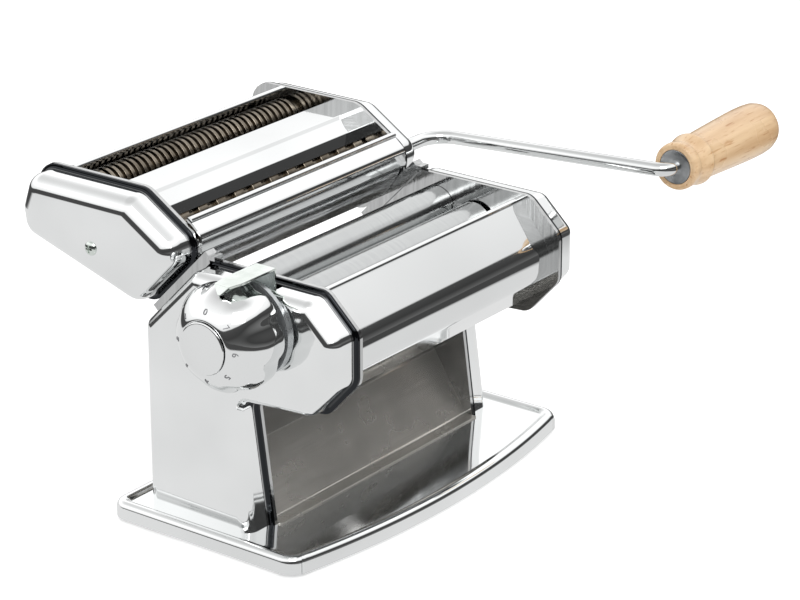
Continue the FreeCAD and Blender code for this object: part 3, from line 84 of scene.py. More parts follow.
def blend(tree, factor, first, second, kind="MIX"):
    """Two colours mixed by a factor."""
    return node(tree, "ShaderNodeMix", {"Factor": factor, "A": first, "B": second},
                data_type="RGBA", blend_type=kind).outputs["Result"]


def node_group(name, kind, inputs, output):
    """A node group: its tree, its inputs by name and the socket of its one output."""
    tree = bpy.data.node_groups.new(name, kind)
    for label, shape, value in inputs:
        made = tree.interface.new_socket(name=label, in_out="INPUT", socket_type="NodeSocket" + shape)
        if value is not None:
            made.default_value = value
    label, shape = output
    tree.interface.new_socket(name=label, in_out="OUTPUT", socket_type="NodeSocket" + shape)
    given = tree.nodes.new("NodeGroupInput").outputs
    return tree, given, tree.nodes.new("NodeGroupOutput").inputs[label]


def grain_group():
    """Streaks, turned lines, fibres or smudges: noise on Object coordinates, stretched."""
    tree, given, result = node_group("grain", "ShaderNodeTree", [
        ("Stretch", "Vector", EVEN), ("Scale", "Float", 100.0), ("Detail", "Float", 3.0),
        ("Low", "Float", 0.35), ("High", "Float", 0.65)], ("Value", "Float"))
    place = node(tree, "ShaderNodeTexCoord").outputs["Object"]
    stretched = node(tree, "ShaderNodeVectorMath", {0: place, 1: given["Stretch"]}, operation="MULTIPLY")
    noise = node(tree, "ShaderNodeTexNoise", {
        "Vector": stretched.outputs["Vector"], "Scale": given["Scale"], "Detail": given["Detail"]})
    spread = node(tree, "ShaderNodeMapRange", {
        "Value": noise.outputs["Fac"], "From Min": given["Low"], "From Max": given["High"]})
    tree.links.new(spread.outputs["Result"], result)
    return tree


GRAIN = grain_group()


def grain(tree, stretch, scale, detail=3.0, low=0.3, high=0.7):
    """The grain group placed in a material with its own values."""
    values = {"Stretch": stretch, "Scale": scale, "Detail": detail, "Low": low, "High": high}
    return node(tree, "ShaderNodeGroup", values, node_tree=GRAIN).outputs["Value"]


def finish_of(name, colours, metal, rough, streaks, smudges, relief):
    """A surface finish: colour and relief from streaks, roughness from smudges of handling."""
    made = bpy.data.materials.new(name)
    made.use_nodes = True
    tree = made.node_tree
    surface = tree.nodes["Principled BSDF"].inputs
    lines = grain(tree, *streaks)
    marks = grain(tree, EVEN, *smudges)
    dark, bright = ((*colour, 1.0) for colour in colours)
    level = node(tree, "ShaderNodeMapRange", {"Value": marks, "To Min": rough[0], "To Max": rough[1]})
    bump = node(tree, "ShaderNodeBump", {"Strength": relief[0], "Distance": relief[1], "Height": lines})
    surface["Metallic"].default_value = metal
    tree.links.new(blend(tree, lines, dark, bright), surface["Base Color"])
    tree.links.new(level.outputs["Result"], surface["Roughness"])
    tree.links.new(bump.outputs["Normal"], surface["Normal"])
    return made


POLISHED = finish_of(
    "polished_steel", ((0.74, 0.75, 0.75), (0.86, 0.87, 0.87)), 1.0, (0.035, 0.10),
    (EVEN, 9.0, 2.0), (45.0, 4.0, 0.4, 0.75), (0.12, 0.0016))


def rounded_outline(corners, radii, inset, steps):
    """Points round an outline whose corners are arcs, moved inwards by the inset."""
    count = len(corners)
    area = sum(corners[i - 1][0] * corners[i][1] - corners[i][0] * corners[i - 1][1]
               for i in range(count))
    side = 1.0 if area > 0 else -1.0
    points = []
    for i, corner in enumerate(corners):
        here = Vector(corner)
        before = (here - Vector(corners[i - 1])).normalized()
        after = (Vector(corners[(i + 1) % count]) - here).normalized()
        turn = math.atan2(before.x * after.y - before.y * after.x, before.dot(after))
        radius = radii[i]
        inwards = Vector((-before.y, before.x)) * side
        convex = 1.0 if turn * side > 0 else -1.0
        if radius <= 0:
            half = Vector((-after.y, after.x)) * side + inwards
            points.append(here + half / half.dot(inwards) * inset)
            continue
        centre = here - before * (radius * math.tan(abs(turn) / 2)) + inwards * convex * radius
        reach = radius - convex * inset
        out = -inwards * convex
        for k in range(steps + 1):
            swing = turn * k / steps
            cos, sin = math.cos(swing), math.sin(swing)
            points.append(centre + Vector((out.x * cos - out.y * sin, out.x * sin + out.y * cos)) * reach)
    return points


def new_piece(name, mesh, material, body, stands_for=(), smooth=None):
    """A finished mesh as a named piece on its body, in the places of the CAD nodes given."""
    piece = bpy.data.objects.new(name, mesh)
    bpy.context.scene.collection.objects.link(piece)
    mesh.materials.clear()
    mesh.materials.append(material)
    if smooth is not None:
        mesh.shade_smooth()
        mesh.set_sharp_from_angle(angle=math.radians(smooth))
    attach(piece, body)
    if stands_for:
        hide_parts(*stands_for)
    return piece


def join_rings(mesh, near, far, closed=True):
    """Faces between two rings of as many corners."""
    count = len(near)
    for i in range(count if closed else count - 1):
        j = (i + 1) % count
        mesh.faces.new((near[i], near[j], far[j], far[i]))


def skin_rings(mesh, rings, closed=True, capped=True):
    """Faces from ring to ring, with flat ends where they are capped."""
    loops = [[mesh.verts.new(p) for p in ring] for ring in rings]
    for near, far in zip(loops, loops[1:]):
        join_rings(mesh, near, far, closed)
    if capped:
        mesh.faces.new(loops[0][::-1])
        mesh.faces.new(loops[-1])
    return loops


def mesh_from(name, build):
    """A mesh built by the function given, with its faces outwards."""
    work = bmesh.new()
    build(work)
    bmesh.ops.remove_doubles(work, verts=work.verts, dist=1e-7)
    bmesh.ops.recalc_face_normals(work, faces=work.faces)
    made = bpy.data.meshes.new(name)
    work.to_mesh(made)
    work.free()
    return made


def base_ring(inset):
    """The base plate's outline from above: straight back and sides, and a bowed front."""
    half = PLATE_HALF - inset
    rear = PLATE_REAR - inset
    bow = BOW_RADIUS - inset
    centre = BOW_FRONT + BOW_RADIUS
    front = []
    for k in range(BOW_STEPS + 1):
        x = -half + 2 * half * k / BOW_STEPS
        front.append((x, centre - math.sqrt(bow * bow - x * x)))
    back_round = max(BACK_CORNER - inset, LEAST_CORNER)
    front_round = max(FRONT_CORNER - inset, LEAST_CORNER)
    radii = [back_round] * 2 + [front_round] + [0.0] * (BOW_STEPS - 1) + [front_round]
    return rounded_outline([(half, rear), (-half, rear)] + front, radii, 0.0, CORNER_STEPS)


def build_base(work):
    """The bead's section, from the underside's edge to the flat top, carried round the outline."""
    rings = [[Vector((p.x, p.y, z)) * MM for p in base_ring(inset)] for inset, z in BEAD_SIDE]
    skin_rings(work, rings)


new_piece("base_tray", mesh_from("base_tray", build_base), POLISHED, "stand",
          ["base_plate"], smooth=40)

# Soft, even shading for the parts that come from the construction: their loose facets are
# welded and smoothed by angle in the modifier, and flat faces keep their own direction.

WELD_REACH = 2e-6
SHAPE = ("Geometry", "Geometry")
PAINT = ("Finish", "Material", None)


def painted(tree, shape, given, result):
    """Gives the shape its finish and hands it out of the group."""
    paint = node(tree, "GeometryNodeSetMaterial", {"Geometry": shape, "Material": given["Finish"]})
    tree.links.new(paint.outputs["Geometry"], result)
    return tree


def welding_tree():
    """Welds a part's loose facets and smooths the edges that bend less than the sharp angle."""
    tree, given, result = node_group("welded_shading", "GeometryNodeTree", [
        (*SHAPE, None), ("Sharp Angle", "Float", 0.6), PAINT], SHAPE)
    bare = node(tree, "GeometryNodeRemoveAttribute", {"Geometry": given["Geometry"], "Name": "custom_normal"})
    weld = node(tree, "GeometryNodeMergeByDistance", {
        "Geometry": bare.outputs["Geometry"], "Distance": WELD_REACH})
    faces = node(tree, "GeometryNodeSetShadeSmooth", {"Geometry": weld.outputs["Geometry"]})
    angle = node(tree, "GeometryNodeInputMeshEdgeAngle").outputs["Unsigned Angle"]
    gentle = node(tree, "FunctionNodeCompare", {"A": angle, "B": given["Sharp Angle"]}, operation="LESS_THAN")
    edges = node(tree, "GeometryNodeSetShadeSmooth", {
        "Geometry": faces.outputs["Geometry"], "Shade Smooth": gentle.outputs["Result"]}, domain="EDGE")
    return painted(tree, edges.outputs["Geometry"], given, result)


WELDING = welding_tree()


def input_of(tree, name):
    """The identifier of a tree's input, by its name."""
    return next(s.identifier for s in tree.interface.items_tree
                if s.item_type == "SOCKET" and s.in_out == "INPUT" and s.name == name)


def dress_node(name, material, sharp=34.0):
    """Gives a carried-over part its finish and its shading."""
    part = nodes[name]
    if part.data.materials:
        for place in part.material_slots:
            place.link = "OBJECT"
            place.material = material
    shading = part.modifiers.new("welded_shading", "NODES")
    shading.node_group = WELDING
    shading[input_of(WELDING, "Sharp Angle")] = math.radians(sharp)
    shading[input_of(WELDING, "Finish")] = material
    even = part.modifiers.new("even_normals", "WEIGHTED_NORMAL")
    even.keep_sharp = True
    even.weight = 90


# Rubber feet under the base plate and the heads of the screws that hold the side plates' tabs.
# The feet are black moulded rubber, the screws are zinc plated.

RUBBER = finish_of(
    "black_rubber", ((0.018, 0.018, 0.018), (0.035, 0.035, 0.036)), 0.0, (0.62, 0.8),
    (EVEN, 420.0, 4.0), (60.0, 3.0, 0.4), (0.3, 0.0002))
ZINC = finish_of(
    "zinc_plate", ((0.66, 0.71, 0.67), (0.76, 0.80, 0.77)), 1.0, (0.10, 0.20),
    (EVEN, 120.0, 2.0, 0.35, 0.65), (90.0, 3.0, 0.4), (0.02, 0.0001))
dress_node("rubber_feet", RUBBER)
dress_node("base_screws", ZINC)

# Side plates, roller guards and the tie rods that hold the stand together. The plates are plain
# cold rolled sheet with rolling lines, the rods are drawn steel with hexagon heads outside.

ROLLED = finish_of(
    "rolled_sheet", ((0.46, 0.465, 0.465), (0.56, 0.565, 0.565)), 1.0, (0.08, 0.16),
    ((1.0, 1.0, 0.03), 520.0), (50.0, 3.0, 0.4), (0.08, 0.0002))
DRAWN = finish_of(
    "drawn_steel", ((0.52, 0.53, 0.54), (0.72, 0.73, 0.74)), 1.0, (0.18, 0.32),
    ((0.02, 1.0, 1.0), 700.0), (60.0, 3.0, 0.4), (0.1, 0.0002))
for name in ("left_side_plate", "right_side_plate", "left_roller_guard", "right_roller_guard"):
    dress_node(name, ROLLED)
for name in ("front_tie_rod", "rear_tie_rod", "lower_tie_rod"):
    dress_node(name, DRAWN)
dress_node("tie_rod_nuts", ZINC, 20.0)

# Dough chute and front hood: steel sheets between the side plates. The brushed chute leads the
# dough to the front. The polished hood is bent on a wide round and has a rolled upper lip.

INNER_HALF = 74.0
HOOD_BENDS = [(-41.5, 72.5, 0), (-57.5, 90.0, 9), (-57.5, 103.0, 15), (-40.5, 123.0, 0)]
HOOD_LIP = (-39.9, 122.4)
LIP_ROUND = 1.5
LIP_STEPS = 28
LEAST_MITRE = 0.7
SHEET = 1.0
BEND_STEP = math.radians(4)


def bent_line(bends):
    """Corners given as y, z and radius; each bend is an arc between two straight runs."""
    line = []
    for i, (y, z, radius) in enumerate(bends):
        here = Vector((y, z))
        if not radius:
            line.append(here)
            continue
        one = (Vector(bends[i - 1][:2]) - here).normalized()
        two = (Vector(bends[i + 1][:2]) - here).normalized()
        half = one.angle(two) / 2
        centre = here + (one + two).normalized() * radius / math.sin(half)
        start = here + one * radius / math.tan(half) - centre
        turn = math.pi - 2 * half
        if start.x * two.y - start.y * two.x < 0:
            turn = -turn
        steps = max(3, round(abs(turn) / BEND_STEP))
        for k in range(steps + 1):
            swing = turn * k / steps
            line.append(centre + Vector((start.x * math.cos(swing) - start.y * math.sin(swing),
                                         start.x * math.sin(swing) + start.y * math.cos(swing))))
    return line


def circle_points(centre, radius, steps):
    """Points of a section, on a circle."""
    return [Vector((centre[0] + radius * math.cos(2 * math.pi * k / steps),
                    centre[1] + radius * math.sin(2 * math.pi * k / steps))) for k in range(steps)]


def across(points, x):
    """Points of a section placed at X."""
    return [Vector((x, p.x, p.y)) * MM for p in points]


def bent_plate(work, bends, lip=None):
    """A bent sheet from one side plate to the other, with a rolled edge where lip is given."""
    line = bent_line(bends)
    back = []
    for i, here in enumerate(line):
        one = (here - line[i - 1]).normalized() if i else (line[1] - here).normalized()
        two = (line[i + 1] - here).normalized() if i + 1 < len(line) else one
        middle = (one + two).normalized()
        back.append(here + Vector((middle.y, -middle.x)) * SHEET / max(middle.dot(one), LEAST_MITRE))
    section = line + back[::-1]
    skin_rings(work, [across(section, -INNER_HALF), across(section, INNER_HALF)])
    if lip:
        roll = circle_points(lip, LIP_ROUND, LIP_STEPS)
        skin_rings(work, [across(roll, -INNER_HALF), across(roll, INNER_HALF)])


CHUTE_STEEL = finish_of(
    "brushed_chute", ((0.56, 0.54, 0.50), (0.63, 0.61, 0.57)), 0.75, (0.22, 0.32),
    ((0.03, 1.0, 1.0), 900.0, 2.0), (40.0, 3.0, 0.4), (0.04, 0.0001))
dress_node("dough_chute", CHUTE_STEEL)
new_piece("hood_sheet", mesh_from("hood_sheet", lambda work: bent_plate(work, HOOD_BENDS, HOOD_LIP)),
          POLISHED, "stand", ["front_hood"], smooth=30)

# Side covers of the stand: deep drawn pans of polished steel with a wide rounded rim and a
# narrow flange round the mouth. They hide the plates' outer sides, the gears and the heads.

PLATE_X = 75.8
FACE_X = 91.0
FLANGE = 2.2
FLANGE_WALL = 1.2
FLANGE_EDGE = 0.15
COVER_WALL = 1.0
STAND_SIDE = [
    (-15.2, PLATE_TOP), (-7.1, 66.8), (-46.5, 68.9), (-63.0, 87.3), (-63.0, 110.0),
    (-46.1, 126.0), (18.389, 126.0), (48.3, 95.026), (48.3, PLATE_TOP),
]
STAND_RADII = [0.0, 5.0, 8.5, 8.5, 8.5, 8.5, 8.5, 8.5, 0.0]
RIM_STEPS = 10
PAN_STEPS = 14
HOLE_STEPS = 48
ROOT_ROUND = 1.4
ROOT_STEPS = 5


def pan_profile(rim):
    """Inset from the outline and height over the side plate, from the flange to the flat face."""
    deep = FACE_X - PLATE_X
    line = [(0.0, 0.0), (0.0, FLANGE_WALL - FLANGE_EDGE), (FLANGE_EDGE, FLANGE_WALL)]
    for k in range(ROOT_STEPS + 1):
        swing = math.pi / 2 * k / ROOT_STEPS
        line.append((FLANGE - ROOT_ROUND * (1 - math.sin(swing)),
                     FLANGE_WALL + ROOT_ROUND * (1 - math.cos(swing))))
    for k in range(RIM_STEPS + 1):
        swing = math.pi / 2 * k / RIM_STEPS
        line.append((FLANGE + rim * (1 - math.cos(swing)), deep - rim * (1 - math.sin(swing))))
    return line


def inner_profile(rim):
    """The same section on the inner side of the sheet."""
    deep = FACE_X - PLATE_X - COVER_WALL
    inside = rim - COVER_WALL
    line = [(FLANGE + COVER_WALL, 0.0)]
    for k in range(RIM_STEPS + 1):
        swing = math.pi / 2 * k / RIM_STEPS
        line.append((FLANGE + COVER_WALL + inside * (1 - math.cos(swing)),
                     deep - inside * (1 - math.sin(swing))))
    return line


def edges_along(work, line):
    """The edges from corner to corner of a line, made where they are missing."""
    return [work.edges.get((one, two)) or work.edges.new((one, two)) for one, two in zip(line, line[1:])]


def flat_with_holes(work, rim_loop, holes, x):
    """A flat sheet at X inside a closed loop of corners, with round holes left open."""
    edges = edges_along(work, rim_loop + rim_loop[:1])
    rings = []
    for centre, radius in holes:
        ring = [work.verts.new(p) for p in across(circle_points(centre, radius, HOLE_STEPS), x)]
        rings.append(ring)
        edges += edges_along(work, ring + ring[:1])
    bmesh.ops.triangle_fill(work, use_beauty=True, use_dissolve=False, edges=edges)
    return rings


def strip_between(work, outer, inner):
    """Closes the sheet's lower edge between its outer and its inner line."""
    edges = edges_along(work, outer) + edges_along(work, inner)
    edges += edges_along(work, [outer[0], inner[0]]) + edges_along(work, [outer[-1], inner[-1]])
    bmesh.ops.triangle_fill(work, use_beauty=True, use_dissolve=False, edges=edges)


def pressed_pan(outline, radii, side, rim, holes, open_foot):
    """Builds a cover: a sheet of one thickness with a flange, a wall, a rounded rim and a face."""

    def foot_cut(points, inset):
        """The two foot corners lie on the base plate, on the outline's own sides."""
        front = Vector(outline[0])
        way = (Vector(outline[1]) - front).normalized()
        first = Vector((front.x + inset / way.y, PLATE_TOP))
        last = Vector((outline[-1][0] - inset, PLATE_TOP))
        return [first] + points[1:-1] + [last]

    def rings(profile):
        made = []
        for inset, height in profile:
            points = rounded_outline(outline, radii, inset, PAN_STEPS)
            if open_foot:
                points = foot_cut(points, inset)
            made.append(across(points, side * (PLATE_X + height)))
        return made

    def build(work):
        closed = not open_foot
        outer = skin_rings(work, rings(pan_profile(rim)), closed, capped=False)
        inner = skin_rings(work, rings(inner_profile(rim)), closed, capped=False)
        out_holes = flat_with_holes(work, outer[-1], holes, side * FACE_X)
        in_holes = flat_with_holes(work, inner[-1], holes, side * (FACE_X - COVER_WALL))
        for one, two in zip(out_holes, in_holes):
            join_rings(work, one, two)
        join_rings(work, outer[0], inner[0], closed)
        if open_foot:
            strip_between(work, *([loop[0] for loop in sheet] + [loop[-1] for loop in sheet[::-1]]
                                  for sheet in (outer, inner)))

    return build


def shade_flange(material, reach, shade):
    """Paints shade into the turned flange's colour: a painted reflection of the shaded rim wall that the
    flange lies behind.
    """
    tree = material.node_tree
    colour = tree.nodes["Principled BSDF"].inputs["Base Color"]
    place = node(tree, "ShaderNodeTexCoord").outputs["Object"]
    split = node(tree, "ShaderNodeSeparateXYZ", {0: place})
    level = node(tree, "ShaderNodeMapRange", {
        "Value": maths(tree, "ABSOLUTE", split.outputs["X"]),
        "From Min": reach[0] * MM, "From Max": reach[1] * MM})
    bright = colour.links[0].from_socket
    tree.links.new(blend(tree, level.outputs["Result"], shade, bright), colour)


COVER_STEEL = finish_of(
    "cover_steel", ((0.80, 0.81, 0.81), (0.88, 0.89, 0.89)), 1.0, (0.04, 0.09),
    (EVEN, 20.0, 2.0), (34.0, 3.0, 0.4), (0.0, 0.0))
# Painted shade: the cover steel turns near black across the flange, standing in for the dark rim it mirrors.
shade_flange(COVER_STEEL, (77.6, 78.6), (0.03, 0.032, 0.035, 1.0))

KNOB_AXIS = (-15.3, 107.0)
REAR_AXIS = (6.189, 110.020)
STAND_RIM = 6.0
for name, side, holes in (("left", -1, [(KNOB_AXIS, 5.0)]), ("right", 1, [(REAR_AXIS, 7.0)])):
    mesh = mesh_from(name + "_leg_cover",
                     pressed_pan(STAND_SIDE, STAND_RADII, side, STAND_RIM, holes, True))
    new_piece(name + "_leg_cover", mesh, COVER_STEEL, "stand",
              [name + "_side_cover"], smooth=35)

# Smooth rollers, their bushes and gears: ground and plated rollers with fine turned lines, and
# bronze bushes. The gears are plain steel.

ROLLER = finish_of(
    "ground_roller", ((0.47, 0.48, 0.48), (0.52, 0.53, 0.53)), 1.0, (0.15, 0.21),
    ((1.0, 0.02, 0.02), 2400.0, 2.0), (30.0, 3.0, 0.4), (0.02, 0.00005))
BRONZE = finish_of(
    "bronze_bush", ((0.42, 0.28, 0.13), (0.62, 0.46, 0.25)), 1.0, (0.28, 0.42),
    (EVEN, 300.0), (90.0, 3.0, 0.4), (0.1, 0.0002))
PLAIN = finish_of(
    "plain_steel", ((0.30, 0.31, 0.32), (0.46, 0.47, 0.48)), 1.0, (0.25, 0.42),
    (EVEN, 240.0), (80.0, 3.0, 0.4), (0.12, 0.0002))
for name in ("rear_smooth_roller", "front_smooth_roller"):
    dress_node(name, ROLLER)
for name in ("rear_roller_bushes", "eccentric_shaft_bushes", "front_roller_bushes"):
    dress_node(name, BRONZE)
for name in ("rear_roller_gear", "front_roller_gear", "eccentric_shaft", "front_scraper", "rear_scraper"):
    dress_node(name, PLAIN)

# Dial plate and pointer: a grey painted disc behind the knob, and a zinc plated strip that is
# bent over it from the top of the cover and ends in a point.

DIAL = finish_of(
    "dial_paint", ((0.44, 0.46, 0.47), (0.56, 0.58, 0.59)), 0.75, (0.26, 0.36),
    (EVEN, 380.0), (90.0, 3.0, 0.4), (0.12, 0.0002))
dress_node("dial_plate", DIAL)

POINTER_LINE = [
    (-78.5, 123.8, 5.4), (-84.0, 123.8, 5.4), (-84.0, 133.6, 5.4), (-106.5, 133.6, 5.4),
    (-113.5, 133.6, 4.0), (-115.5, 130.0, 0.8),
]
POINTER_WALL = 1.0
POINTER_EDGE = 0.12


def build_pointer(work):
    """The strip's line as x, z and half its width: bent in flats, and narrowing to a point."""
    low, high = (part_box("pointer_bracket")[i].y / MM for i in (0, 1))
    middle = (low + high) / 2
    line = [Vector((x, z)) for x, z, _ in POINTER_LINE]
    rings = []
    for i, here in enumerate(line):
        before = (here - line[i - 1]).normalized() if i else None
        after = (line[i + 1] - here).normalized() if i + 1 < len(line) else None
        one, two = before or after, after or before
        out = Vector((one.y, -one.x)) + Vector((two.y, -two.x))
        back = here - out / (out.length ** 2 / 2) * POINTER_WALL
        wide = POINTER_LINE[i][2]
        rings.append([Vector((spot.x, middle + reach, spot.y)) * MM for spot, reach in (
            (here, -wide), (here, wide), (back, wide), (back, -wide))])
    skin_rings(work, rings)
    bmesh.ops.bevel(work, geom=list(work.edges), offset=POINTER_EDGE * MM, segments=2, affect="EDGES")


new_piece("pointer_strip", mesh_from("pointer_strip", build_pointer), ZINC, "stand",
          ["pointer_bracket"], smooth=30)

# Regulator knob: a polished die cast dome with eight shallow lobes. A flat bright disc is set
# in its front, and small plain numbers stand round the disc.

KNOB_BACK = 96.0
KNOB_LINE = [
    (0.0, 19.0), (0.0, 22.6), (0.4, 23.5), (1.5, 24.3), (4.0, 24.8), (8.0, 25.0), (12.0, 24.6), (15.0, 23.4),
    (18.0, 21.6), (20.5, 19.4), (22.6, 17.0), (24.2, 14.8), (25.1, 13.3), (25.5, 12.2),
    (25.3, 11.75), (24.6, 11.7),
]
KNOB_STEPS = 192
KNOB_TOP = 25.0
KNOB_FLOOR = 24.6
BORE_R = 4.2
LOBES = 8
LOBE_DEEP = 1.7
LOBE_SHARP = 1.6
LOBE_HIGH = 14.0
LOBE_FROM = 13.0
LOBE_WIDE = 9.0


def smooth_line(points, pieces):
    """More points along a line, on a curve through the given ones."""
    result = []
    for i in range(len(points) - 1):
        a, b, c, d = (Vector(points[max(0, min(len(points) - 1, i + k))]) for k in (-1, 0, 1, 2))
        for step in range(pieces):
            t = step / pieces
            result.append(0.5 * (2 * b + (c - a) * t + (2 * a - 5 * b + 4 * c - d) * t * t
                                 + (3 * b - a - 3 * c + d) * t ** 3))
    return result + [Vector(points[-1])]


def share_of(value):
    """A value held between nought and one."""
    return max(0.0, min(1.0, value))


def build_knob(work):
    """The lobes are deepest at the knob's back and run out towards the disc."""
    rings = []
    for high, radius in smooth_line(KNOB_LINE, 4):
        deep = LOBE_DEEP * share_of((KNOB_TOP - high) / LOBE_HIGH)
        deep *= share_of((radius - LOBE_FROM) / LOBE_WIDE)
        ring = []
        for k in range(KNOB_STEPS):
            angle = 2 * math.pi * k / KNOB_STEPS
            wave = 0.5 - 0.5 * math.cos(LOBES * angle)
            reach = radius - deep * wave ** LOBE_SHARP
            ring.append(Vector((-(KNOB_BACK + high), KNOB_AXIS[0] + reach * math.cos(angle),
                                KNOB_AXIS[1] + reach * math.sin(angle))) * MM)
        rings.append(ring)
    bore = circle_points(KNOB_AXIS, BORE_R, KNOB_STEPS)
    rings += [across(bore, -(KNOB_BACK + KNOB_FLOOR)), across(bore, -KNOB_BACK)]
    loops = skin_rings(work, rings, capped=False)
    join_rings(work, loops[-1], loops[0])


new_piece("knob_dome", mesh_from("knob_dome", build_knob), POLISHED, "knob",
          ["regulator_knob"], smooth=40)


def turned(name, line, axis, steps):
    """A turned piece round a line along X: pairs of X and radius, closed at both ends."""
    return mesh_from(name, lambda work: skin_rings(work, [
        across(circle_points(axis, radius, steps), x) for x, radius in line]))


TINY = 0.05
DISC_LINE = [(-121.5, 11.5), (-122.35, 11.65), (-122.6, 11.4), (-122.7, 10.9), (-122.7, TINY)]
new_piece("knob_cap", turned("knob_cap", DISC_LINE, KNOB_AXIS, 96), POLISHED, "knob",
          ["knob_face_disc"], smooth=40)

INK = finish_of(
    "engraved_grey", ((0.20, 0.20, 0.21), (0.34, 0.34, 0.35)), 0.4, (0.45, 0.6),
    (EVEN, 300.0, 2.0), (90.0, 3.0, 0.4), (0.1, 0.0001))
NUMBER_SIZE = 4.05
NUMBER_DEEP = 0.12
NUMBER_HIGH = 23.72
NUMBER_OUT = 15.7
NUMBER_SLOPE = math.radians(37)


def evaluated(holder):
    """The mesh of an object as its curve or its modifiers leave it; the object goes."""
    bpy.context.scene.collection.objects.link(holder)
    bpy.context.view_layer.update()
    mesh = bpy.data.meshes.new_from_object(holder.evaluated_get(bpy.context.evaluated_depsgraph_get()))
    bpy.data.objects.remove(holder)
    return mesh


def knob_numbers():
    """Plain numbers 0 to 7 as thin raised characters, laid on the dome round the disc."""
    facing = Matrix(((0, 0, -1, 0), (-1, 0, 0, 0), (0, 1, 0, 0), (0, 0, 0, 1)))
    lean = Matrix.Rotation(-NUMBER_SLOPE, 4, "X")
    out = Matrix.Translation(Vector((0, NUMBER_OUT * MM, 0)))
    place = Matrix.Translation(Vector((-(KNOB_BACK + NUMBER_HIGH), *KNOB_AXIS)) * MM)
    work = bmesh.new()
    for value in range(LOBES):
        curve = bpy.data.curves.new("number", "FONT")
        curve.body = str(value)
        curve.size = NUMBER_SIZE * MM
        curve.extrude = NUMBER_DEEP * MM
        curve.align_x = "CENTER"
        curve.align_y = "CENTER"
        flat = evaluated(bpy.data.objects.new("number", curve))
        spin = Matrix.Rotation(2 * math.pi * value / LOBES, 4, "Z")
        flat.transform(place @ facing @ spin @ out @ lean)
        work.from_mesh(flat)
    made = bpy.data.meshes.new("knob_numbers")
    work.to_mesh(made)
    work.free()
    return made


new_piece("knob_numbers", knob_numbers(), INK, "knob")
dress_node("knob_index_pin", PLAIN)
dress_node("knob_spring", PLAIN)

# Cutter unit: side plates, guides that hook on the slanted edges of the stand, tie rods and
# polished covers across. It lifts off along the slanted edge.

for name in ("cutter_left_plate", "cutter_right_plate", "left_rail_guide", "right_rail_guide"):
    dress_node(name, ROLLED)
for name in ("cutter_middle_rod", "cutter_rear_rod"):
    dress_node(name, DRAWN)
for name in ("cutter_front_cover", "cutter_rear_cover"):
    dress_node(name, POLISHED)
MIDDLE_BENDS = [
    (48.8, 135.4, 0), (51.0, 140.0, 1.5), (57.0, 144.9, 0.6), (58.2, 146.45, 0.6), (75.9, 146.45, 0),
]
middle = mesh_from("cutter_middle_sheet", lambda work: bent_plate(work, MIDDLE_BENDS))
new_piece("cutter_middle_sheet", middle, POLISHED, "cutter_unit",
          ["cutter_middle_cover"], smooth=30)

HEAD_Y = 18.389
HEAD_Z = 126.0
RAIL = math.radians(46)
CUTTER_GAP = 3.2
UNIT_ROUND = 11.2
UNIT_SCREWS = (HEAD_Y + 56.4, HEAD_Z - 3.5)


def on_rail(along, out):
    """A place along the slanted edge from its upper end, and out from it."""
    return (HEAD_Y + along * math.cos(RAIL) + out * math.sin(RAIL),
            HEAD_Z - along * math.sin(RAIL) + out * math.cos(RAIL))


CUTTER_SIDE = [
    on_rail(-2.0, CUTTER_GAP), (HEAD_Y + 35, HEAD_Z + 25.5), (HEAD_Y + 96.1, HEAD_Z + 25.5),
    (HEAD_Y + 102.6, HEAD_Z + 7), (HEAD_Y + 100.6, HEAD_Z - 7), on_rail(42.5, CUTTER_GAP),
]
WIDE_AXIS = (39.789, 127.0)
FINE_AXIS = (81.389, 130.6)
CUTTER_RIM = 8.0
for name, side, holes in (("left", -1, []), ("right", 1, [(WIDE_AXIS, 7.0), (FINE_AXIS, 7.0)])):
    mesh = mesh_from(name + "_unit_cover",
                     pressed_pan(CUTTER_SIDE, [UNIT_ROUND] * 6, side, CUTTER_RIM, holes, False))
    new_piece(name + "_unit_cover", mesh, COVER_STEEL, "cutter_unit",
              [f"cutter_{name}_cover"], smooth=35)

# Cutter rollers: interleaved discs with square shoulders on a core. The wide pair makes
# ribbons and the fine pair makes thin strips. They are hard steel with a warm, used tone.

CUTTER_STEEL = finish_of(
    "cutter_steel", ((0.13, 0.11, 0.085), (0.27, 0.235, 0.19)), 1.0, (0.22, 0.40),
    ((1.0, 0.4, 0.4), 240.0), (80.0, 3.0, 0.4), (0.12, 0.0002))


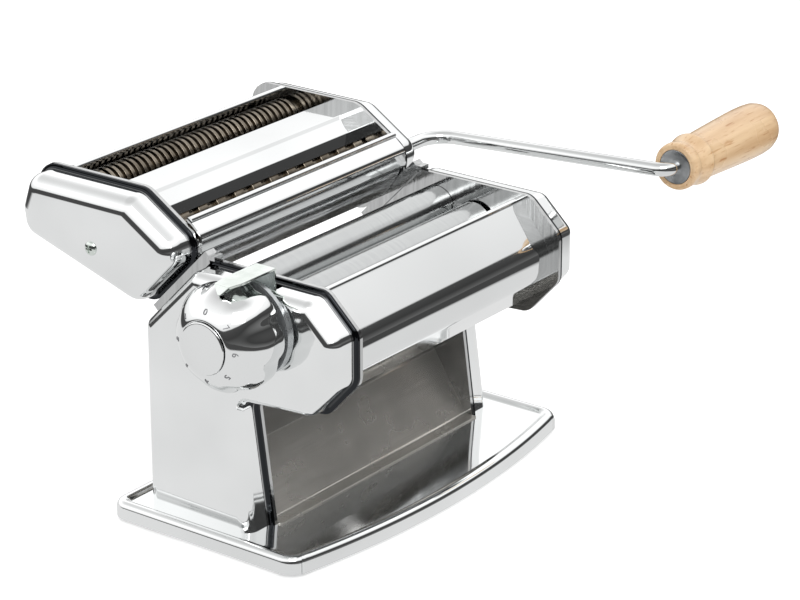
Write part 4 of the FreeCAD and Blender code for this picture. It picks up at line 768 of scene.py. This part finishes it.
def disc_row_tree():
    """Discs in a row along X on the core that the mesh gives, with broken edges."""
    tree, given, result = node_group("disc_row", "GeometryNodeTree", [
        (*SHAPE, None), ("Count", "Int", 11), ("Pitch", "Float", 0.0126), ("Width", "Float", 0.0062),
        ("Radius", "Float", 0.0087), ("Edge", "Float", 0.0003), ("Sides", "Int", 40),
        ("Axis", "Vector", None), PAINT], SHAPE)

    def disc(radius, width):
        return node(tree, "GeometryNodeMeshCylinder", {
            "Vertices": given["Sides"], "Radius": radius, "Depth": width}).outputs["Mesh"]

    bevelled = maths(tree, "SUBTRACT", given["Radius"], given["Edge"])
    narrow = maths(tree, "SUBTRACT", given["Width"], maths(tree, "MULTIPLY", given["Edge"], 2.0))
    both = node(tree, "GeometryNodeJoinGeometry", {"Geometry": disc(given["Radius"], narrow)})
    tree.links.new(disc(bevelled, given["Width"]), both.inputs["Geometry"])
    hull = node(tree, "GeometryNodeConvexHull", {"Geometry": both.outputs["Geometry"]})
    lie = node(tree, "GeometryNodeTransform", {
        "Geometry": hull.outputs["Convex Hull"], "Rotation": (0.0, math.pi / 2, 0.0)})
    step = node(tree, "ShaderNodeCombineXYZ", {"X": given["Pitch"]})
    gaps = maths(tree, "SUBTRACT", given["Count"], 1.0)
    half = maths(tree, "MULTIPLY", maths(tree, "MULTIPLY", gaps, given["Pitch"]), -0.5)
    start = node(tree, "ShaderNodeCombineXYZ", {"X": half})
    begin = node(tree, "ShaderNodeVectorMath", {0: start.outputs[0], 1: given["Axis"]}, operation="ADD")
    line = node(tree, "GeometryNodeMeshLine", {
        "Count": given["Count"], "Offset": step.outputs[0], "Start Location": begin.outputs["Vector"]},
        mode="OFFSET")
    put = node(tree, "GeometryNodeInstanceOnPoints", {
        "Points": line.outputs["Mesh"], "Instance": lie.outputs["Geometry"]})
    join = node(tree, "GeometryNodeJoinGeometry", {"Geometry": put.outputs["Instances"]})
    tree.links.new(given["Geometry"], join.inputs["Geometry"])
    real = node(tree, "GeometryNodeRealizeInstances", {"Geometry": join.outputs["Geometry"]})
    return painted(tree, real.outputs["Geometry"], given, result)


DISC_ROW = disc_row_tree()


def plain_mesh(name, mesh, tree, values):
    """The mesh with a geometry tree run on it once, as a plain mesh."""
    carrier = bpy.data.objects.new(name + "_carrier", mesh)
    run = carrier.modifiers.new("run", "NODES")
    run.node_group = tree
    for key, value in values.items():
        run[input_of(tree, key)] = value
    result = evaluated(carrier)
    result.name = name
    return result


SOCKET_FACE = 90.6
ROLLER_END = 73.7
CORE_R = 6.5
SOCKET_R = 3.36
SOCKET_DEEP = 12.0
DISC_R = 8.7
DISC_CLEAR = 0.1


def cutter_core(name, axis, driven):
    """Core, journals, and on a driven roller the socket for the crank's tip."""
    thick = 5.0 if driven else 4.0
    tail = SOCKET_FACE if driven else 77.8
    line = [(-80.3, TINY), (-80.3, 3.4), (-76.8, 3.4), (-76.8, 4.0), (-ROLLER_END, 4.0),
            (-ROLLER_END, CORE_R), (ROLLER_END, CORE_R), (ROLLER_END, thick), (tail, thick)]
    if driven:
        line += [(tail, SOCKET_R), (tail - SOCKET_DEEP, SOCKET_R), (tail - SOCKET_DEEP, TINY)]
    else:
        line.append((tail, TINY))
    return turned(name, line, axis, 32)


for name, axis, body, count, width, driven in (
        ("wide_cutter_drive", WIDE_AXIS, "wide_drive_cutter", 11, 6.3, True),
        ("wide_cutter_follower", (55.728, 128.394), "wide_follower_cutter", 12, 6.3, False),
        ("fine_cutter_drive", FINE_AXIS, "fine_drive_cutter", 37, 2.0, True),
        ("fine_cutter_follower", (95.516, 138.112), "fine_follower_cutter", 36, 2.0, False)):
    core = cutter_core(name + "_core", axis, driven)
    mesh = plain_mesh(name + "_discs", core, DISC_ROW, {
        "Count": count, "Pitch": 2 * width * MM, "Width": (width - DISC_CLEAR) * MM,
        "Radius": DISC_R * MM, "Edge": 0.25 * MM if width > 3 else 0.12 * MM,
        "Sides": 40 if width > 3 else 36,
        "Axis": (0.0, axis[0] * MM, axis[1] * MM), "Finish": CUTTER_STEEL})
    new_piece(name + "_discs", mesh, CUTTER_STEEL, body, [name], smooth=30)

# Combs and gears of the cutter unit: a bar with a tooth in each gap of a roller lifts the
# strips out, and a pair of small gears couples the two rollers of a pair.

NYLON = finish_of(
    "comb_nylon", ((0.66, 0.65, 0.62), (0.76, 0.75, 0.72)), 0.0, (0.42, 0.55),
    (EVEN, 150.0), (60.0, 3.0, 0.4), (0.1, 0.0002))
for pair in ("wide", "fine"):
    for seat in ("drive", "follower"):
        dress_node(f"{pair}_{seat}_comb", NYLON, 20.0)
        dress_node(f"{pair}_{seat}_gear", PLAIN, 25.0)

# Cover screws: zinc plated pan heads with a cross recess, one in each cover of the cutter unit.

SCREW_R = 3.3
SCREW_HIGH = 1.6
SCREW_SLOT = 0.8


def screw_head_tree():
    """A pan head with a cross cut in it, set on each point of the mesh, facing away from X zero."""
    tree, given, result = node_group("cross_screw", "GeometryNodeTree", [
        (*SHAPE, None), ("Radius", "Float", 0.0033), ("Height", "Float", 0.0016),
        ("Slot", "Float", 0.0008), PAINT], SHAPE)
    head = node(tree, "GeometryNodeMeshUVSphere", {"Segments": 40, "Rings": 24, "Radius": given["Radius"]})
    low = maths(tree, "DIVIDE", given["Height"], given["Radius"])
    scale = node(tree, "ShaderNodeCombineXYZ", {"X": 1.0, "Y": 1.0, "Z": low})
    flat = node(tree, "GeometryNodeTransform", {"Geometry": head.outputs["Mesh"], "Scale": scale.outputs[0]})
    long = maths(tree, "MULTIPLY", given["Radius"], 1.1)
    measure = node(tree, "ShaderNodeCombineXYZ", {"X": given["Slot"], "Y": long, "Z": given["Height"]})
    bar = node(tree, "GeometryNodeMeshCube", {"Size": measure.outputs[0]})
    up = node(tree, "ShaderNodeCombineXYZ", {"Z": given["Height"]})
    last = flat.outputs["Geometry"]
    for turn in (0.0, math.pi / 2):
        lift = node(tree, "GeometryNodeTransform", {
            "Geometry": bar.outputs["Mesh"], "Rotation": (0.0, 0.0, turn), "Translation": up.outputs[0]})
        cut = node(tree, "GeometryNodeMeshBoolean", {
            "Mesh 1": last, "Mesh 2": lift.outputs["Geometry"]}, operation="DIFFERENCE")
        last = cut.outputs["Mesh"]
    place = node(tree, "GeometryNodeInputPosition").outputs[0]
    split = node(tree, "ShaderNodeSeparateXYZ", {0: place})
    facing = maths(tree, "MULTIPLY", maths(tree, "SIGN", split.outputs["X"]), math.pi / 2)
    way = node(tree, "ShaderNodeCombineXYZ", {"Y": facing})
    put = node(tree, "GeometryNodeInstanceOnPoints", {
        "Points": given["Geometry"], "Instance": last, "Rotation": way.outputs[0]})
    real = node(tree, "GeometryNodeRealizeInstances", {"Geometry": put.outputs["Instances"]})
    return painted(tree, real.outputs["Geometry"], given, result)


def build_screw_places(work):
    """A point on each cover's face."""
    for side in (-1, 1):
        work.verts.new(Vector((side * FACE_X, *UNIT_SCREWS)) * MM)


screws = plain_mesh("cover_cross_screws", mesh_from("screw_places", build_screw_places), screw_head_tree(), {
    "Radius": SCREW_R * MM, "Height": SCREW_HIGH * MM, "Slot": SCREW_SLOT * MM, "Finish": ZINC})
new_piece("cover_cross_screws", screws, ZINC, "cutter_unit", ["cutter_cover_screws"], smooth=35)

# Crank: one bent rod of polished steel. Its flattened tip sits in the socket of the driven
# wide cutter, and it pulls straight out. A washer closes the grip's end.

CRANK_R = 3.3
GRIP_AXIS = (-92.739, 135.5)
ARM_X = 118.0
TIP_X = 73.4
FLAT_TO = 78.4
ROUND_FROM = 79.2
ROD_END = 126.0
HALF_FLAT = 2.5
SHAFT_BEND = 13.0
GRIP_BEND = 6.4
BEND_STEPS = 16
ROD_STEPS = 28


def bent_path(corners, radii, steps):
    """Points along a path of straight runs whose corners are arcs."""
    path = [Vector(corners[0])]
    for i in range(1, len(corners) - 1):
        here = Vector(corners[i])
        before = (here - Vector(corners[i - 1])).normalized()
        after = (Vector(corners[i + 1]) - here).normalized()
        turn = before.angle(after)
        reach = radii[i - 1] * math.tan(turn / 2)
        inwards = (after - before * before.dot(after)).normalized()
        centre = here - before * reach + inwards * radii[i - 1]
        for k in range(steps + 1):
            swing = turn * k / steps
            path.append(centre - inwards * radii[i - 1] * math.cos(swing)
                        + before * radii[i - 1] * math.sin(swing))
    return path + [Vector(corners[-1])]


def build_crank(work):
    """Round sections along the rod; the first two, at its tip, have two flat sides."""
    corners = [(TIP_X, *WIDE_AXIS), (ARM_X, *WIDE_AXIS), (ARM_X, *GRIP_AXIS), (ROD_END, *GRIP_AXIS)]
    path = bent_path(corners, (SHAFT_BEND, GRIP_BEND), BEND_STEPS)
    path[1:1] = [Vector((x, *WIDE_AXIS)) for x in (FLAT_TO, ROUND_FROM)]
    arm = (Vector(corners[2]) - Vector(corners[1])).normalized()
    normal = Vector((1, 0, 0)).cross(arm)
    rings = []
    for i, point in enumerate(path):
        before = point - path[i - 1] if i else path[1] - point
        after = path[i + 1] - point if i + 1 < len(path) else point - path[i - 1]
        way = (before.normalized() + after.normalized()).normalized()
        aside = normal.cross(way)
        ring = []
        for k in range(ROD_STEPS):
            angle = 2 * math.pi * k / ROD_STEPS
            one, two = CRANK_R * math.cos(angle), CRANK_R * math.sin(angle)
            if i < 2:
                two = max(-HALF_FLAT, min(HALF_FLAT, two))
            ring.append((point + aside * one + normal * two) * MM)
        rings.append(ring)
    skin_rings(work, rings)


new_piece("crank_arm", mesh_from("crank_arm", build_crank), POLISHED, "crank",
          ["crank_rod"], smooth=40)
WASHER_LINE = [(124.5, 0.1), (124.5, 7.7), (124.65, 8.05), (124.9, 8.2), (125.7, 8.2), (125.7, 0.1)]
new_piece("grip_washer", turned("grip_washer", WASHER_LINE, GRIP_AXIS, 64), PLAIN, "crank",
          ["crank_washer"], smooth=35)

# Grip: turned from one piece of varnished beech, with a collar, a waist, a rounded ring and a
# body that swells towards its domed end. It spins freely on the crank's end.

GRIP_START = 124.5
GRIP_LINE = [
    (1.2, 4.0), (1.2, 8.3), (0.15, 8.35), (0.0, 9.0), (0.0, 10.2), (0.35, 10.8), (1.1, 11.2), (2.6, 11.35),
    (4.4, 11.3), (5.4, 11.0), (6.1, 10.55), (6.8, 10.4), (8.6, 10.75), (10.6, 11.4), (12.4, 12.0),
    (13.5, 12.3), (14.4, 12.45), (15.0, 12.3), (15.25, 11.8), (15.3, 11.15), (15.7, 11.0), (20.0, 11.15),
    (30.0, 11.6), (42.0, 12.1), (54.0, 12.55), (62.0, 12.7), (68.0, 12.65), (72.5, 12.3), (75.6, 11.4),
    (77.8, 9.9), (79.0, 7.6), (79.4, 4.5), (79.5, TINY),
]


def wood_finish():
    """Beech: fine fibres and short pores along the grip, under a thin varnish."""
    made = finish_of(
        "varnished_beech", ((0.62, 0.38, 0.19), (0.84, 0.60, 0.36)), 0.0, (0.26, 0.40),
        ((0.06, 1.0, 1.0), 210.0, 5.0, 0.25, 0.62), (60.0, 3.0, 0.4), (0.2, 0.0003))
    tree = made.node_tree
    surface = tree.nodes["Principled BSDF"].inputs
    colour = surface["Base Color"].links[0].from_socket
    pores = grain(tree, (0.09, 1.0, 1.0), 900.0, 2.0, 0.60, 0.72)
    pored = blend(tree, pores, colour, (0.72, 0.55, 0.42, 1.0), "MULTIPLY")
    tree.links.new(pored, surface["Base Color"])
    surface["Coat Weight"].default_value = 0.35
    surface["Coat Roughness"].default_value = 0.18
    return made


grip = turned("grip_wood", [(GRIP_START + x, radius) for x, radius in GRIP_LINE], GRIP_AXIS, 96)
new_piece("grip_wood", grip, wood_finish(), "grip", ["crank_grip"], smooth=50)

# Floor, soft studio light and the camera at the photograph's viewpoint. The polished parts show
# the floor white beside the knob, and darker away from it, as a lit table in a dark room does.

BRIGHT_SPOT = (-0.12, 0.08, 0.0)
BRIGHT_REACH = (0.50, 0.62)
MIRRORED_FLOOR = (0.84, 0.07)
FLOOR_GLOW = 0.42
FLOOR_SIZE = 12.0
SKY_POWER = 1.3
SKY_LEAN = 0.3
SKY_STOPS = [(0.0, 0.4), (0.50, 0.04), (0.635, 0.06), (0.652, 0.70), (0.70, 0.84), (0.735, 0.86),
             (0.765, 1.0), (0.86, 1.0), (1.0, 0.55)]
ROOM_TONE = (0.48, 0.48, 0.485, 1.0)
WHITE = (1.0, 1.0, 1.0, 1.0)


def stage_plane(name, size, material):
    """A square of the stage at Z zero."""
    half = size / 2
    mesh = bpy.data.meshes.new(name)
    mesh.from_pydata([(-half, -half, 0), (half, -half, 0), (half, half, 0), (-half, half, 0)], [],
                     [(0, 1, 2, 3)])
    mesh.materials.append(material)
    plane = bpy.data.objects.new(name, mesh)
    bpy.context.scene.collection.objects.link(plane)


def floor_finish():
    """A pale floor that glows to the camera and is mirrored bright beside the machine only."""
    made = bpy.data.materials.new("pale_floor")
    made.use_nodes = True
    tree = made.node_tree
    surface = tree.nodes["Principled BSDF"]
    surface.inputs["Base Color"].default_value = (0.86, 0.86, 0.86, 1.0)
    surface.inputs["Roughness"].default_value = 0.32
    seen = node(tree, "ShaderNodeLightPath").outputs
    place = node(tree, "ShaderNodeTexCoord").outputs["Object"]
    away = node(tree, "ShaderNodeVectorMath", {0: place, 1: BRIGHT_SPOT}, operation="DISTANCE")
    level = node(tree, "ShaderNodeMapRange", {
        "Value": away.outputs["Value"], "From Min": BRIGHT_REACH[0], "From Max": BRIGHT_REACH[1],
        "To Min": MIRRORED_FLOOR[0], "To Max": MIRRORED_FLOOR[1]})
    mirrored = node(tree, "ShaderNodeEmission", {"Strength": level.outputs["Result"]})
    power = maths(tree, "MULTIPLY", seen["Is Camera Ray"], FLOOR_GLOW)
    glow = node(tree, "ShaderNodeEmission", {"Strength": power})
    both = node(tree, "ShaderNodeAddShader", {0: surface.outputs[0], 1: glow.outputs[0]})
    chosen = node(tree, "ShaderNodeMixShader", {
        "Fac": seen["Is Glossy Ray"], 1: both.outputs[0], 2: mirrored.outputs[0]})
    tree.links.new(chosen.outputs[0], tree.nodes["Material Output"].inputs["Surface"])
    return made


stage_plane("floor", FLOOR_SIZE, floor_finish())

scene = bpy.context.scene
scene.world = bpy.data.worlds.new("studio")
scene.world.use_nodes = True
sky = scene.world.node_tree
background = sky.nodes["Background"].inputs
background["Strength"].default_value = SKY_POWER
seen = node(sky, "ShaderNodeLightPath").outputs
shown = maths(sky, "MAXIMUM", seen["Is Camera Ray"], seen["Is Transmission Ray"])
where = node(sky, "ShaderNodeTexCoord").outputs["Generated"]
split = node(sky, "ShaderNodeSeparateXYZ", {0: where}).outputs
leaning = maths(sky, "MULTIPLY_ADD", split["Y"], SKY_LEAN, split["Z"])
raised = node(sky, "ShaderNodeMapRange", {"Value": leaning, "From Min": -1.0})
band = node(sky, "ShaderNodeValToRGB", {"Fac": raised.outputs["Result"]})
stops = band.color_ramp.elements
for stop, (place, level) in zip((stops[0], stops[1]), (SKY_STOPS[0], SKY_STOPS[-1])):
    stop.position = place
    stop.color = (level, level, level, 1.0)
for place, level in SKY_STOPS[1:-1]:
    stops.new(place).color = (level, level, level, 1.0)
glossy = blend(sky, seen["Is Glossy Ray"], ROOM_TONE, band.outputs["Color"])
sky.links.new(blend(sky, shown, glossy, WHITE), background["Color"])

LIGHT_AIM = Vector((0.0, 0.0, 0.08))
for name, power, size, place in (
        ("key_light", 9.0, 0.9, (-0.9, -0.7, 1.3)),
        ("fill_light", 5.0, 0.8, (0.9, -0.9, 0.9)),
        ("back_light", 5.0, 0.8, (0.3, 1.1, 1.1))):
    lamp = bpy.data.lights.new(name, "AREA")
    lamp.energy = power
    lamp.size = size
    holder = bpy.data.objects.new(name, lamp)
    holder.location = place
    holder.visible_glossy = name == "key_light"
    aim = LIGHT_AIM - Vector(place)
    holder.rotation_euler = aim.to_track_quat("-Z", "Y").to_euler()
    scene.collection.objects.link(holder)

YAW = math.radians(53.284)
PITCH = math.radians(21.355)
FOCAL_PIXELS = 3019.0
PICTURE_WIDE = 800.0
CAMERA_PLACE = (-1.00946, -0.78024, 0.58582)
forward = Vector((math.sin(YAW) * math.cos(PITCH), math.cos(YAW) * math.cos(PITCH), -math.sin(PITCH)))
right = Vector((math.cos(YAW), -math.sin(YAW), 0.0))
up = right.cross(forward)
lens = bpy.data.cameras.new("photo_camera")
lens.sensor_width = 36.0
lens.lens = FOCAL_PIXELS / PICTURE_WIDE * lens.sensor_width
lens.clip_start = 0.05
lens.clip_end = 50.0
camera = bpy.data.objects.new("photo_camera", lens)
turn = Matrix((right, up, -forward)).transposed()
camera.matrix_world = Matrix.Translation(CAMERA_PLACE) @ turn.to_4x4()
scene.collection.objects.link(camera)
scene.camera = camera
scene.view_settings.view_transform = "Standard"
